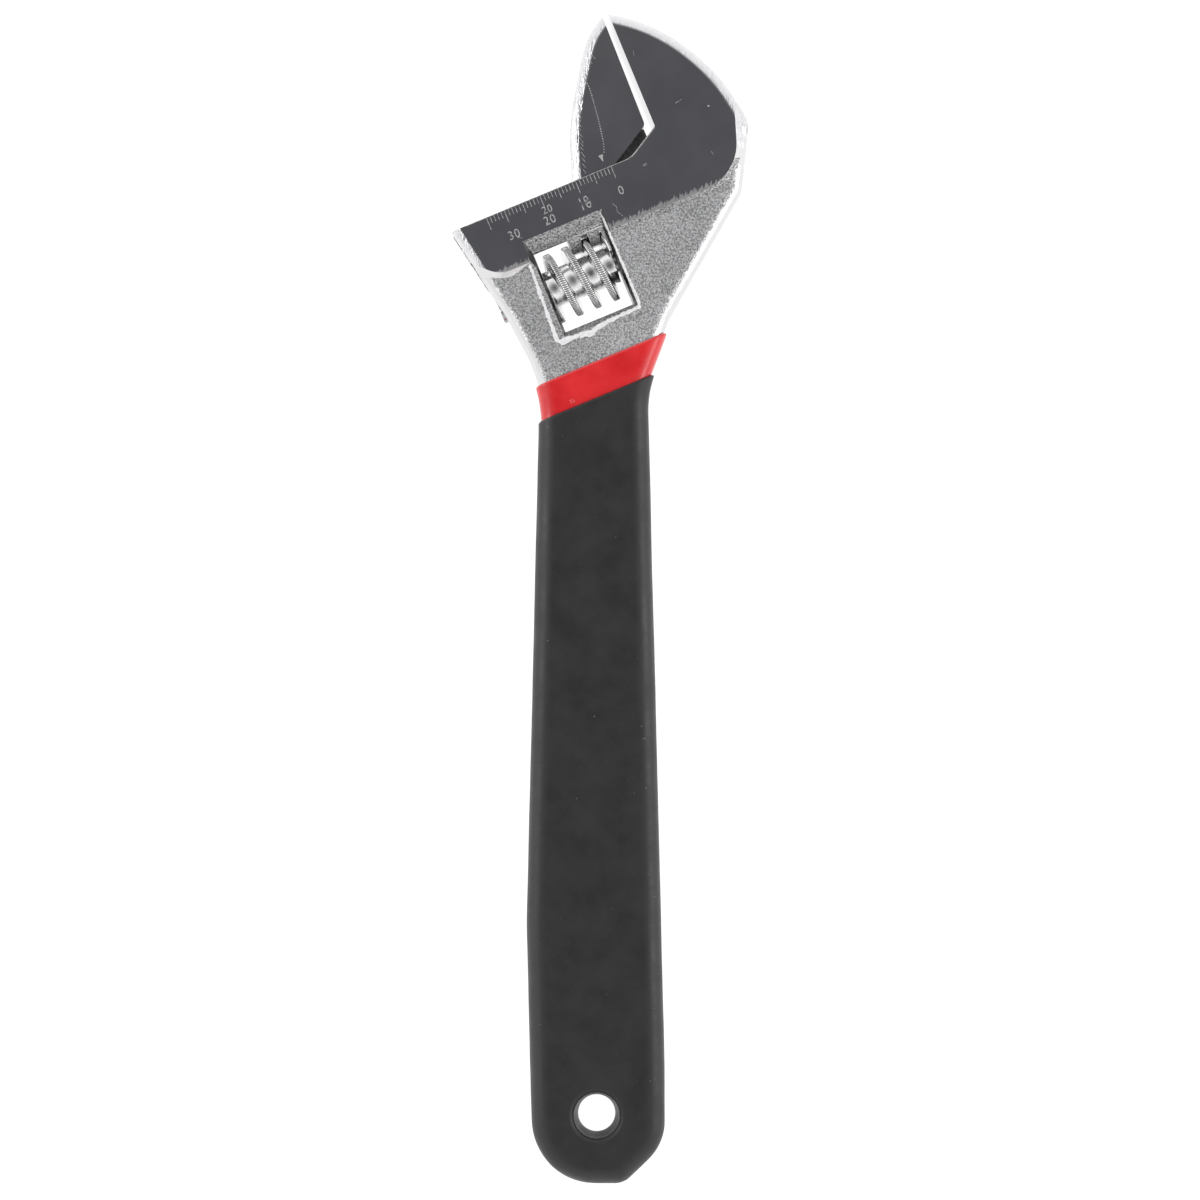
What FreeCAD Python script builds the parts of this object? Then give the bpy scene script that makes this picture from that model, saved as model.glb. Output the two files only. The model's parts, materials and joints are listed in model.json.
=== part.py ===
"""Adjustable wrench, 300 mm: a forging, a sliding jaw, a knurl on its pin and spring, two dipped grip coats.

Row frame: millimetres, origin at the hang hole's centre on the mid-plane, +Y along the handle to the head,
+Z through the thickness. The head has a frame of its own, turned by jaw_angle from the row frame: u runs
along the slide towards the fixed jaw, v points into the jaw opening, u = 0 is the fixed jaw's gripping face
and v = 0 is the slide surface.
"""
import FreeCAD, Part
import math
import os

import Sketcher

os.makedirs("parts", exist_ok=True)

Vector = FreeCAD.Vector
Rotation = FreeCAD.Rotation
Placement = FreeCAD.Placement

# How far the cutting tools reach, in the head's frame, past everything that they cut.
BEYOND_LEFT = -170.0
BEYOND_RIGHT = 90.0
BEYOND_HANDLE = -330.0
BEYOND_JAWS = 60.0
BEYOND_SLIDE = -90.0
BEYOND_FACES = 15.0
OVERCUT = 1.0
# Two places nearer than this count as one.
TOUCH = 1e-3

SIZES = [
    # frames
    ("jaw_angle", 22.5, "angle from the handle's crosswise axis to the slide"),
    ("head_x", 17.07, "row x of the fixed face where it meets the slide surface"),
    ("head_y", 252.55, "row y of the same point"),
    # forging thickness, edges
    ("plateau_half", 9.3, "half thickness over the polished plateau"),
    ("cheek_half", 7.8, "half thickness of the textured cheeks beside the knurl window"),
    ("handle_half", 5.0, "half thickness of the bare handle"),
    ("plateau_edge_radius", 2.7, "rounding of the plateau's outer edge"),
    ("edge_radius", 3.0, "rounding of the cheek and handle edges"),
    ("step_slope", 43.0, "slope of the step down from the plateau, from vertical"),
    ("step_depth", 4.5, "depth that the plateau's skirt reaches down inside the cheeks"),
    ("neck_start_v", -37.0, "where the neck starts to thin towards the handle"),
    ("neck_end_v", -68.0, "where the handle reaches its even thickness"),
    ("neck_blend", 90.0, "rounding where the neck starts and stops thinning"),
    # jaw opening and the movable jaw's way
    ("throat_rise", 5.2, "height of the fixed face above the slide surface"),
    ("throat_run", 9.0, "length of the throat's slope along the slide"),
    ("throat_radius", 6.0, "rounding of the throat into the slide surface"),
    ("rod_v", -10.2, "axis of the rack rod below the slide surface"),
    ("rod_bore_radius", 7.25, "bore for the rack rod"),
    ("rod_bore_end_u", 5.5, "blind end of the bore"),
    ("web_slot_half", 3.85, "half width of the slot for the jaw's web"),
    ("web_slot_end_u", -0.4, "closed end of the web slot"),
    ("web_slot_top_v", 6.5, "top of the web slot, through the throat's slope"),
    # knurl window
    ("window_left_u", -41.8, "left wall of the window"),
    ("window_right_u", -22.4, "right wall of the window"),
    ("window_top_v", -12.8, "upper wall of the window"),
    ("window_bottom_v", -35.2, "lower wall of the window"),
    ("window_side_lip", 1.4, "width of the bevel at the window's sides"),
    ("window_top_lip", 3.4, "width of the bevel above the window"),
    ("window_bottom_lip", 2.9, "width of the bevel below the window"),
    ("window_lip_depth", 2.9, "depth of the window's bevel, from the plateau"),
    ("window_overcut", 0.5, "how far the bevel's cutter runs out past the plateau"),
    # knurl, pin and spring
    ("knurl_v", -23.06, "axis of the knurl below the slide surface"),
    ("knurl_left_u", -41.6, "left end of the knurl"),
    ("knurl_length", 18.4, "length of the knurl"),
    ("knurl_core_radius", 5.0, "radius under the thread"),
    ("knurl_radius", 9.1, "radius over the thread"),
    ("thread_pitch", 5.15, "pitch of the knurl's thread and of the jaw's rack"),
    ("thread_root_width", 2.3, "width of the thread at the core"),
    ("thread_crest_width", 1.0, "width of the thread's serrated crest"),
    ("thread_sink", 0.3, "how far the thread's profile sinks into the core"),
    ("thread_start", -2.375, "axial start of the thread, from the knurl's left end"),
    ("thread_turns", 4.5, "turns of the thread before its ends are faced off"),
    ("knurl_bore_radius", 2.58, "running bore on the pin"),
    ("spring_pocket_radius", 4.1, "counterbore for the spring"),
    ("spring_pocket_depth", 6.0, "depth of that counterbore"),
    ("pin_radius", 2.5, "radius of the knurl pin"),
    ("pin_head_radius", 3.5, "radius of the pin's slotted head"),
    ("pin_head_length", 1.8, "length of the pin's head"),
    ("pin_head_u", -53.6, "where the pin's head sits in the left cheek"),
    ("pin_end_u", -17.0, "the pin's end in the right cheek"),
    ("pin_slot_width", 0.9, "width of the screwdriver slot"),
    ("pin_slot_depth", 0.9, "depth of the screwdriver slot"),
    ("spring_wire_radius", 0.4, "radius of the spring's wire"),
    ("spring_coil_radius", 3.3, "radius of the spring, to the wire's centre"),
    ("spring_coils", 5.0, "coils of the spring"),
    # movable jaw
    ("jaw_half", 9.2, "half thickness of the movable jaw"),
    ("jaw_edge_radius", 2.7, "rounding along the movable jaw's back"),
    ("jaw_base_v", 0.08, "running gap between the jaw and the slide surface"),
    ("web_half", 3.55, "half thickness of the web"),
    ("web_left_u", -23.0, "left end of the web"),
    ("web_right_u", -2.6, "right end of the web"),
    ("web_top_v", 3.0, "top of the web's left end, inside the jaw's bit"),
    ("web_right_top_v", 6.1, "top of the web's right end, under the jaw's foot"),
    ("rod_radius", 7.0, "radius of the rack rod"),
    ("rod_left_u", -32.2, "left end of the rack rod"),
    ("rod_length", 33.9, "length of the rack rod"),
    ("rack_gaps", 7, "gaps of the rack, the last one at the rod's right end"),
    ("rack_first_gap_u", -28.525, "middle of the rack's first gap"),
    ("rack_floor_v", -13.6, "floor of the rack's gaps"),
    ("rack_open_v", -18.0, "open side of the rack's gaps"),
    ("rack_floor_width", 1.8, "width of a gap at its floor"),
    ("rack_open_width", 3.1, "width of a gap at its open side"),
    ("rack_lean", 6.3, "lean of the gaps, the thread's helix angle"),
    # grip
    ("red_coat", 0.9, "thickness of the red undercoat"),
    ("black_coat", 0.8, "thickness of the black sleeve over it"),
    ("red_edge_v", -45.2, "upper edge of the red undercoat"),
    ("black_edge_v", -54.0, "upper edge of the black sleeve"),
    ("hang_hole_radius", 4.9, "radius of the finished hang hole"),
]

# Corners of each outline, counter-clockwise: name, place along and across its frame, corner radius.
# The first ones are in the head's frame (u, v), the handle's are in the row frame (x, y).
FORGING_HEAD_RIGHT = [
    ("neck_root", -15.6, -42.3, 9.0),
    ("neck_shoulder", 14.6, -18.9, 6.0),
    ("heel", 23.2, -3.0, 5.0),
    ("jaw_side", 21.1, 10.8, 45.0),
    ("jaw_crown", 11.4, 29.4, 45.0),
    ("jaw_point", -8.0, 42.4, 0.0),
]
FORGING_HEAD_LEFT = [
    ("notch_inner", -8.0, 4.0, 0.0),
    ("slide_end", -60.1, 4.0, 0.0),
    ("cheek_upper", -56.7, -14.5, 20.0),
    ("cheek_lower", -54.6, -25.0, 30.0),
    ("neck_left", -53.3, -38.5, 25.0),
]
FORGING_HANDLE = [
    ("grip_top_left", -13.4, 185.5, 40.0),
    ("grip_waist_left", -16.75, 50.0, 120.0),
    ("end_left", -15.1, -16.4, 15.0),
    ("end_corner", 6.4, -16.45, 4.0),
    ("end_right", 16.2, -7.2, 12.0),
    ("grip_waist_right", 16.2, 12.0, 60.0),
    ("grip_top_right", 11.8, 189.0, 30.0),
]
PLATEAU = [
    ("plateau_slide_left", -60.0, 4.0, 0.0),
    ("plateau_left", -54.8, -15.1, 8.0),
    ("plateau_low", 10.0, -15.1, 12.0),
    ("plateau_heel", 16.8, -10.2, 12.0),
    ("plateau_side", 21.0, 1.8, 22.0),
    ("plateau_far", 20.0, 55.0, 0.0),
    ("plateau_top", -8.0, 55.0, 0.0),
    ("plateau_notch", -8.0, 4.0, 0.0),
]
MOVABLE_JAW = [
    ("bit_foot", -2.25, 6.45, 1.5),
    ("bit_tip", -1.7, 36.95, 0.0),
    ("back_crown", -7.6, 33.4, 20.0),
    ("back_side", -20.2, 14.9, 60.0),
    ("back_foot", -25.5, 0.08, 0.0),
    ("base_front", -13.3, 0.08, 1.0),
]


def make_sheet(doc):
    """The spreadsheet with every driving size, one aliased cell each."""
    sheet = doc.addObject("Spreadsheet::Sheet", "Sizes")
    rows = list(SIZES)
    for corners in (FORGING_HEAD_RIGHT, FORGING_HEAD_LEFT, FORGING_HANDLE, PLATEAU, MOVABLE_JAW):
        for name, along, across, radius in corners:
            rows.append((name + "_along", along, "corner place along its frame"))
            rows.append((name + "_across", across, "corner place across its frame"))
            if radius > 0:
                rows.append((name + "_round", radius, "corner radius"))
    for row, (alias, value, note) in enumerate(rows, start=1):
        sheet.set("A%d" % row, alias)
        sheet.set("B%d" % row, str(value))
        sheet.set("C%d" % row, note)
        sheet.setAlias("B%d" % row, alias)
    doc.recompute()
    return sheet


doc = FreeCAD.newDocument("AdjustableWrench")
sheet = make_sheet(doc)


def size(alias):
    """The number in one aliased cell."""
    return float(sheet.get(alias))


def bind(feature, **cells):
    """Bind a feature's properties to expressions over the sheet."""
    for prop, expression in cells.items():
        feature.setExpression(prop, expression)


def head_placement(u=0.0, v=0.0, z=0.0):
    """The head's frame, moved to (u, v, z) in itself."""
    turn = Rotation(Vector(0, 0, 1), size("jaw_angle"))
    corner = Vector(size("head_x"), size("head_y"), 0)
    return Placement(corner + turn.multVec(Vector(u, v, z)), turn)


def axis_placement(u, v=0.0, z=0.0):
    """A frame at (u, v, z) of the head, with its Z along u, its X along v and its Y along z."""
    along_u = Rotation(Vector(0, 1, 0), Vector(0, 0, 1), Vector(1, 0, 0), "ZXY")
    return head_placement(u, v, z).multiply(Placement(Vector(0, 0, 0), along_u))


# ---------------------------------------------------------------- sketches


def head_corner(name, radius):
    """A corner given in the head's frame, as row-frame expressions and numbers."""
    along = size(name + "_along")
    across = size(name + "_across")
    place = head_placement(along, across).Base
    cells = (name + "_along", name + "_across")
    x_text = "Sizes.head_x + Sizes.%s * cos(Sizes.jaw_angle) - Sizes.%s * sin(Sizes.jaw_angle)" % cells
    y_text = "Sizes.head_y + Sizes.%s * sin(Sizes.jaw_angle) + Sizes.%s * cos(Sizes.jaw_angle)" % cells
    return (Vector(place.x, place.y, 0), x_text, y_text, "Sizes.%s_round" % name, radius)


def plain_corner(name, radius):
    """A corner given in the frame of its own sketch."""
    place = Vector(size(name + "_along"), size(name + "_across"), 0)
    return (place, "Sizes.%s_along" % name, "Sizes.%s_across" % name, "Sizes.%s_round" % name, radius)


def corner_points(before, corner, after, radius):
    """Where a rounded corner's arc starts and ends, with its centre."""
    to_before = (before - corner).normalize()
    to_after = (after - corner).normalize()
    half = to_before.getAngle(to_after) / 2
    run = radius / math.tan(half)
    middle = (to_before + to_after).normalize()
    return corner + to_before * run, corner + to_after * run, corner + middle * (radius / math.sin(half))


def outline(sketch, corners):
    """Draw a closed outline of straight runs and tangent corner arcs, each corner bound to its cells."""
    count = len(corners)
    starts = []
    ends = []
    arcs = []
    for i, (corner, _, _, _, radius) in enumerate(corners):
        if radius > 0:
            start, end, centre = corner_points(corners[i - 1][0], corner, corners[(i + 1) % count][0], radius)
        else:
            start, end, centre = corner, corner, None
        starts.append(start)
        ends.append(end)
        arcs.append(centre)
    lines = [sketch.addGeometry(Part.LineSegment(ends[i], starts[(i + 1) % count])) for i in range(count)]
    for i, (corner, x_text, y_text, radius_text, radius) in enumerate(corners):
        line_in = lines[i - 1]
        line_out = lines[i]
        if radius > 0:
            round_corner(sketch, line_in, line_out, starts[i], ends[i], arcs[i], radius_text, radius)
            point = sketch.addGeometry(Part.Point(corner), True)
            pin_point(sketch, point, 1, corner, x_text, y_text)
            sketch.addConstraint(Sketcher.Constraint("PointOnObject", point, 1, line_in))
            sketch.addConstraint(Sketcher.Constraint("PointOnObject", point, 1, line_out))
        else:
            sketch.addConstraint(Sketcher.Constraint("Coincident", line_in, 2, line_out, 1))
            pin_point(sketch, line_out, 1, corner, x_text, y_text)


def round_corner(sketch, line_in, line_out, start, end, centre, radius_text, radius):
    """One tangent corner arc between two straight runs."""
    from_angle = math.atan2(start.y - centre.y, start.x - centre.x)
    to_angle = math.atan2(end.y - centre.y, end.x - centre.x)
    turn = (to_angle - from_angle) % (2 * math.pi)
    circle = Part.Circle(centre, Vector(0, 0, 1), radius)
    if turn < math.pi:
        arc = sketch.addGeometry(Part.ArcOfCircle(circle, from_angle, to_angle))
        first, last = 1, 2
    else:
        arc = sketch.addGeometry(Part.ArcOfCircle(circle, to_angle, from_angle))
        first, last = 2, 1
    sketch.addConstraint(Sketcher.Constraint("Tangent", line_in, 2, arc, first))
    sketch.addConstraint(Sketcher.Constraint("Tangent", arc, last, line_out, 1))
    bound = sketch.addConstraint(Sketcher.Constraint("Radius", arc, radius))
    sketch.setExpression("Constraints[%d]" % bound, radius_text)


def pin_point(sketch, geometry, position, place, x_text, y_text):
    """Hold a point at the place that two expressions give."""
    x_bound = sketch.addConstraint(Sketcher.Constraint("DistanceX", -1, 1, geometry, position, place.x))
    y_bound = sketch.addConstraint(Sketcher.Constraint("DistanceY", -1, 1, geometry, position, place.y))
    sketch.setExpression("Constraints[%d]" % x_bound, x_text)
    sketch.setExpression("Constraints[%d]" % y_bound, y_text)


def polygon(sketch, points):
    """Draw a closed polygon; each point is a pair of numbers and a pair of expressions."""
    count = len(points)
    for i in range(count):
        here = Vector(points[i][0], points[i][1], 0)
        there = Vector(points[(i + 1) % count][0], points[(i + 1) % count][1], 0)
        sketch.addGeometry(Part.LineSegment(here, there))
    for i, (x, y, x_text, y_text) in enumerate(points):
        sketch.addConstraint(Sketcher.Constraint("Coincident", (i - 1) % count, 2, i, 1))
        pin_point(sketch, i, 1, Vector(x, y, 0), x_text, y_text)


def origin_plane(body, role):
    """One of a body's own origin planes."""
    return [plane for plane in body.Origin.OriginFeatures if plane.Role == role][0]


def body_sketch(body, name, role):
    """A sketch on one of a body's own origin planes."""
    sketch = body.newObject("Sketcher::SketchObject", name)
    sketch.AttachmentSupport = [(origin_plane(body, role), "")]
    sketch.MapMode = "FlatFace"
    return sketch


def new_body(label, placement):
    """An empty body with its label and place."""
    body = doc.addObject("PartDesign::Body", label)
    body.Label = label
    body.Placement = placement
    return body


# ---------------------------------------------------------------- helpers for solids


def flat_edges(shape, height):
    """Names of the edges that lie in the plane z = height of a shape, top and bottom."""
    names = []
    for number, edge in enumerate(shape.Edges, start=1):
        box = edge.BoundBox
        if box.ZLength < TOUCH and abs(abs(box.ZMin) - height) < TOUCH:
            names.append(number)
    return names


def rounded(name, base, radius, picks):
    """A Part fillet of the picked edges of a base object."""
    fillet = doc.addObject("Part::Fillet", name)
    fillet.Base = base
    fillet.Edges = [(number, radius, radius) for number in picks]
    doc.recompute()
    return fillet


def prism(name, sketch, half):
    """A sketch extruded the same way both sides of the mid-plane."""
    pad = doc.addObject("Part::Extrusion", name)
    pad.Base = sketch
    pad.DirMode = "Custom"
    pad.Dir = Vector(0, 0, 1)
    pad.Solid = True
    pad.Symmetric = True
    bind(pad, LengthFwd=half)
    return pad


def cylinder_along_u(name, u, v, radius, length):
    """A cylinder along the head's u axis, starting at u, with its radius and length bound."""
    tube = doc.addObject("Part::Cylinder", name)
    bind(tube, Radius=radius, Height=length)
    tube.Placement = axis_placement(u, v)
    return tube


def cut(name, base, tools):
    """A base object less a list of tools."""
    result = base
    for number, tool in enumerate(tools, start=1):
        step = doc.addObject("Part::Cut", "%s_%d" % (name, number))
        step.Base = result
        step.Tool = tool
        result = step
    return result


def common(name, first, second):
    """What two objects share."""
    shared = doc.addObject("Part::Common", name)
    shared.Base = first
    shared.Tool = second
    return shared


# ---------------------------------------------------------------- forging and coats


def forging_corners():
    """All corners of the forging's outline, in order, in the row frame."""
    corners = [plain_corner(name, radius) for name, _, _, radius in FORGING_HANDLE]
    corners += [head_corner(name, radius) for name, _, _, radius in FORGING_HEAD_RIGHT]
    corners += [head_corner(name, radius) for name, _, _, radius in FORGING_HEAD_LEFT]
    return corners


def forging_outline():
    """The forging seen from above, jaw opening filled in."""
    sketch = doc.addObject("Sketcher::SketchObject", "forging_outline")
    outline(sketch, forging_corners())
    doc.recompute()
    return sketch


def mirrored_pair(name, source):
    """An object and its mirror image in the mid-plane, joined."""
    mirror = doc.addObject("Part::Mirroring", name + "_mirror")
    mirror.Source = source
    mirror.Normal = Vector(0, 0, 1)
    both = doc.addObject("Part::Fuse", name)
    both.Base = source
    both.Tool = mirror
    return both


def neck_cutter(coat_name, coat):
    """What is cut above and below the neck and handle, a coat's thickness further out.

    The head's frame looks along u here: x is v and y is z.
    """
    sketch = doc.addObject("Sketcher::SketchObject", "neck_profile_" + coat_name)
    high = "Sizes.cheek_half" + coat
    low = "Sizes.handle_half" + coat
    extra = coat_value(coat)
    top = size("cheek_half") + extra
    thin = size("handle_half") + extra
    start = size("neck_start_v")
    end = size("neck_end_v")
    blend = size("neck_blend")
    front = str(BEYOND_JAWS)
    far = str(BEYOND_HANDLE)
    above = str(BEYOND_FACES)
    outline(
        sketch,
        [
            (Vector(start, top, 0), "Sizes.neck_start_v", high, "Sizes.neck_blend", blend),
            (Vector(BEYOND_JAWS, top, 0), front, high, "", 0),
            (Vector(BEYOND_JAWS, BEYOND_FACES, 0), front, above, "", 0),
            (Vector(BEYOND_HANDLE, BEYOND_FACES, 0), far, above, "", 0),
            (Vector(BEYOND_HANDLE, thin, 0), far, low, "", 0),
            (Vector(end, thin, 0), "Sizes.neck_end_v", low, "Sizes.neck_blend", blend),
        ],
    )
    doc.recompute()
    sketch.Placement = axis_placement(BEYOND_LEFT)
    wedge = doc.addObject("Part::Extrusion", "neck_wedge_" + coat_name)
    wedge.Base = sketch
    wedge.DirMode = "Custom"
    wedge.Dir = head_placement().Rotation.multVec(Vector(1, 0, 0))
    wedge.LengthFwd = BEYOND_RIGHT - BEYOND_LEFT
    wedge.Solid = True
    doc.recompute()
    return mirrored_pair("neck_cutter_" + coat_name, wedge)


def coat_value(coat):
    """The number behind a coat expression such as ' + Sizes.red_coat'."""
    return sum(size(term.strip().replace("Sizes.", "")) for term in coat.split("+") if term.strip())


def slab(coat_name, source, coat, upper_edge=None):
    """The forging's long slab with a coat's thickness added all round, from a line across the neck down."""
    block = prism("slab_block_" + coat_name, source, "(Sizes.cheek_half%s) * 2" % coat)
    doc.recompute()
    if upper_edge:
        block = common("slab_below_" + coat_name, block, below_line("slab_reach_" + coat_name, upper_edge))
    thinned = cut("slab_thin_" + coat_name, block, [neck_cutter(coat_name, coat)])
    doc.recompute()
    radius = size("edge_radius") + coat_value(coat)
    return rounded("slab_" + coat_name, thinned, radius, wall_edges(thinned.Shape, upper_edge))


def below_line(name, edge):
    """A large box that keeps only what lies below a line across the neck, parallel to the slide."""
    box = doc.addObject("Part::Box", name)
    box.Length = BEYOND_RIGHT - BEYOND_LEFT
    box.Width = size(edge) - BEYOND_HANDLE
    box.Height = BEYOND_FACES * 2
    box.Placement = head_placement(BEYOND_LEFT, BEYOND_HANDLE, -BEYOND_FACES)
    return box


def wall_edges(shape, upper_edge):
    """Edges between the upright outer wall and the faces above and below it, less those of a trimmed end."""
    picks = []
    to_head = head_placement().inverse()
    for number, edge in enumerate(shape.Edges, start=1):
        box = edge.BoundBox
        if box.ZMin * box.ZMax <= 0:
            continue
        across = [to_head.multVec(vertex.Point).y for vertex in edge.Vertexes]
        if upper_edge and max(abs(v - size(upper_edge)) for v in across) < TOUCH:
            continue
        middle = edge.valueAt((edge.FirstParameter + edge.LastParameter) / 2)
        faces = shape.ancestorsOfType(edge, Part.Face)
        upright = [face for face in faces if abs(face.normalAt(*face.Surface.parameter(middle)).z) < TOUCH]
        if len(upright) == 1:
            picks.append(number)
    return picks


def plateau_sketch(name, height):
    """The plateau's outline at one height of the head."""
    sketch = doc.addObject("Sketcher::SketchObject", name)
    outline(sketch, [plain_corner(corner, radius) for corner, _, _, radius in PLATEAU])
    doc.recompute()
    sketch.Placement = head_placement(0, 0, height)
    return sketch


def plateau_block(source):
    """The raised head: the whole outline at plateau height, kept inside a skirt that slopes out below it."""
    block = prism("plateau_block", source, "Sizes.plateau_half * 2")
    doc.recompute()
    radius = size("plateau_edge_radius")
    softened = rounded("plateau_soft", block, radius, flat_edges(block.Shape, size("plateau_half")))
    skirt = doc.addObject("Part::Extrusion", "plateau_skirt")
    skirt.Base = plateau_sketch("plateau_outline", size("plateau_half"))
    skirt.DirMode = "Custom"
    skirt.Dir = Vector(0, 0, -1)
    skirt.Solid = True
    bind(skirt, LengthFwd="Sizes.step_depth", TaperAngle="Sizes.step_slope")
    core = prism("plateau_core", plateau_sketch("plateau_core_outline", 0), "Sizes.plateau_half * 2")
    doc.recompute()
    form = doc.addObject("Part::Fuse", "plateau_form")
    form.Base = mirrored_pair("plateau_skirts", skirt)
    form.Tool = core
    return common("plateau", softened, form)


def head_box(name, u, v, z, length, width, height):
    """A box in the head's frame from its low corner (u, v, z), with its length, width and height bound."""
    box = doc.addObject("Part::Box", name)
    box.Placement = head_placement(u, v, z)
    bind(box, Length=length, Width=width, Height=height)
    return box


def notch_cutter():
    """The jaw opening: the fixed face, the throat's slope and the slide surface."""
    sketch = doc.addObject("Sketcher::SketchObject", "notch_outline")
    rise = size("throat_rise")
    run = size("throat_run")
    top = str(BEYOND_JAWS)
    left = str(BEYOND_SLIDE)
    outline(
        sketch,
        [
            (Vector(0, BEYOND_JAWS, 0), "0", top, "", 0),
            (Vector(BEYOND_SLIDE, BEYOND_JAWS, 0), left, top, "", 0),
            (Vector(BEYOND_SLIDE, 0, 0), left, "0", "", 0),
            (Vector(-run, 0, 0), "-Sizes.throat_run", "0", "Sizes.throat_radius", size("throat_radius")),
            (Vector(0, rise, 0), "0", "Sizes.throat_rise", "", 0),
        ],
    )
    doc.recompute()
    sketch.Placement = head_placement()
    return prism("notch_cutter", sketch, "Sizes.plateau_half * 4")


def window_cutter():
    """The knurl window with its bevelled mouth on both faces."""
    opening = head_box(
        "window_opening",
        size("window_left_u"),
        size("window_bottom_v"),
        -BEYOND_FACES,
        "Sizes.window_right_u - Sizes.window_left_u",
        "Sizes.window_top_v - Sizes.window_bottom_v",
        str(BEYOND_FACES * 2),
    )
    mouth = doc.addObject("Part::Wedge", "window_mouth")
    spread = " * (Sizes.window_lip_depth + Sizes.window_overcut) / Sizes.window_lip_depth"
    bind(
        mouth,
        Xmin="Sizes.window_bottom_v",
        Xmax="Sizes.window_top_v",
        Ymin="0",
        Ymax="Sizes.window_lip_depth + Sizes.window_overcut",
        Zmin="Sizes.window_left_u",
        Zmax="Sizes.window_right_u",
        X2min="Sizes.window_bottom_v - Sizes.window_bottom_lip" + spread,
        X2max="Sizes.window_top_v + Sizes.window_top_lip" + spread,
        Z2min="Sizes.window_left_u - Sizes.window_side_lip" + spread,
        Z2max="Sizes.window_right_u + Sizes.window_side_lip" + spread,
    )
    mouth.Placement = axis_placement(0, 0, size("plateau_half") - size("window_lip_depth"))
    doc.recompute()
    mouths = mirrored_pair("window_mouths", mouth)
    whole = doc.addObject("Part::Fuse", "window_cutter")
    whole.Base = opening
    whole.Tool = mouths
    return whole


def hang_hole(name, radius):
    """A cylinder through the hang hole."""
    hole = doc.addObject("Part::Cylinder", name)
    hole.Placement = Placement(Vector(0, 0, -BEYOND_FACES), Rotation())
    bind(hole, Radius=radius, Height=str(BEYOND_FACES * 2))
    return hole


def make_forging(source, bare):
    """The forged body: head, fixed jaw, neck and handle core."""
    head = doc.addObject("Part::Fuse", "forging_blank")
    head.Base = bare
    head.Tool = plateau_block(source)
    from_left = " - (%g)" % BEYOND_SLIDE
    bore = cylinder_along_u(
        "rod_bore", BEYOND_SLIDE, size("rod_v"), "Sizes.rod_bore_radius", "Sizes.rod_bore_end_u" + from_left
    )
    slot = head_box(
        "web_slot",
        BEYOND_SLIDE,
        size("rod_v"),
        -size("web_slot_half"),
        "Sizes.web_slot_end_u" + from_left,
        "Sizes.web_slot_top_v - Sizes.rod_v",
        "Sizes.web_slot_half * 2",
    )
    pin_hole = cylinder_along_u(
        "pin_hole",
        size("pin_head_u"),
        size("knurl_v"),
        "Sizes.pin_radius",
        "Sizes.pin_end_u - Sizes.pin_head_u",
    )
    recess = cylinder_along_u(
        "pin_recess", BEYOND_SLIDE, size("knurl_v"), "Sizes.pin_head_radius", "Sizes.pin_head_u" + from_left
    )
    hole = hang_hole("handle_hole", "Sizes.hang_hole_radius + Sizes.red_coat + Sizes.black_coat")
    tools = [notch_cutter(), bore, slot, window_cutter(), pin_hole, recess, hole]
    body = cut("forging_cut", head, tools)
    body.Label = "forged_body"
    return body


def grown(source, name, coat):
    """The forging's outline with a coat's thickness added."""
    larger = doc.addObject("Part::Feature", name)
    larger.Shape = Part.Face(source.Shape.Wires[0].makeOffset2D(coat))
    return larger


def make_coats(source, bare):
    """The red undercoat and the black sleeve over it, each lining the hang hole."""
    red_text = " + Sizes.red_coat"
    black_text = red_text + " + Sizes.black_coat"
    red_slab = slab("red", grown(source, "red_outline", coat_value(red_text)), red_text, "red_edge_v")
    black_outline = grown(source, "black_outline", coat_value(black_text))
    black_slab = slab("black", black_outline, black_text, "black_edge_v")
    core_hole = hang_hole("core_hole", "Sizes.hang_hole_radius + Sizes.red_coat + Sizes.black_coat")
    core = cut("coated_core", bare, [core_hole])
    red_full = cut("red_full", red_slab, [hang_hole("red_hole", "Sizes.hang_hole_radius + Sizes.black_coat")])
    red = cut("red_shell", red_full, [core])
    red.Label = "red_grip_undercoat"
    black_full = cut("black_full", black_slab, [hang_hole("black_hole", "Sizes.hang_hole_radius")])
    black = cut("black_shell", black_full, [red_full])
    black.Label = "black_grip_sleeve"
    return [red, black]


# ---------------------------------------------------------------- movable jaw


def rack_gap_sketch(body):
    """One gap of the rack, seen along the thickness: a wedge that widens away from the rod."""
    sketch = body_sketch(body, "rack_gap", "XY_Plane")
    centre = size("rack_first_gap_u")
    floor_half = size("rack_floor_width") / 2
    open_half = size("rack_open_width") / 2
    floor = size("rack_floor_v")
    mouth = size("rack_open_v")
    centre_text = "Sizes.rack_first_gap_u"
    floor_text = "Sizes.rack_floor_width / 2"
    open_text = "Sizes.rack_open_width / 2"
    polygon(
        sketch,
        [
            (centre - floor_half, floor, centre_text + " - " + floor_text, "Sizes.rack_floor_v"),
            (centre - open_half, mouth, centre_text + " - " + open_text, "Sizes.rack_open_v"),
            (centre + open_half, mouth, centre_text + " + " + open_text, "Sizes.rack_open_v"),
            (centre + floor_half, floor, centre_text + " + " + floor_text, "Sizes.rack_floor_v"),
        ],
    )
    return sketch


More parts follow.
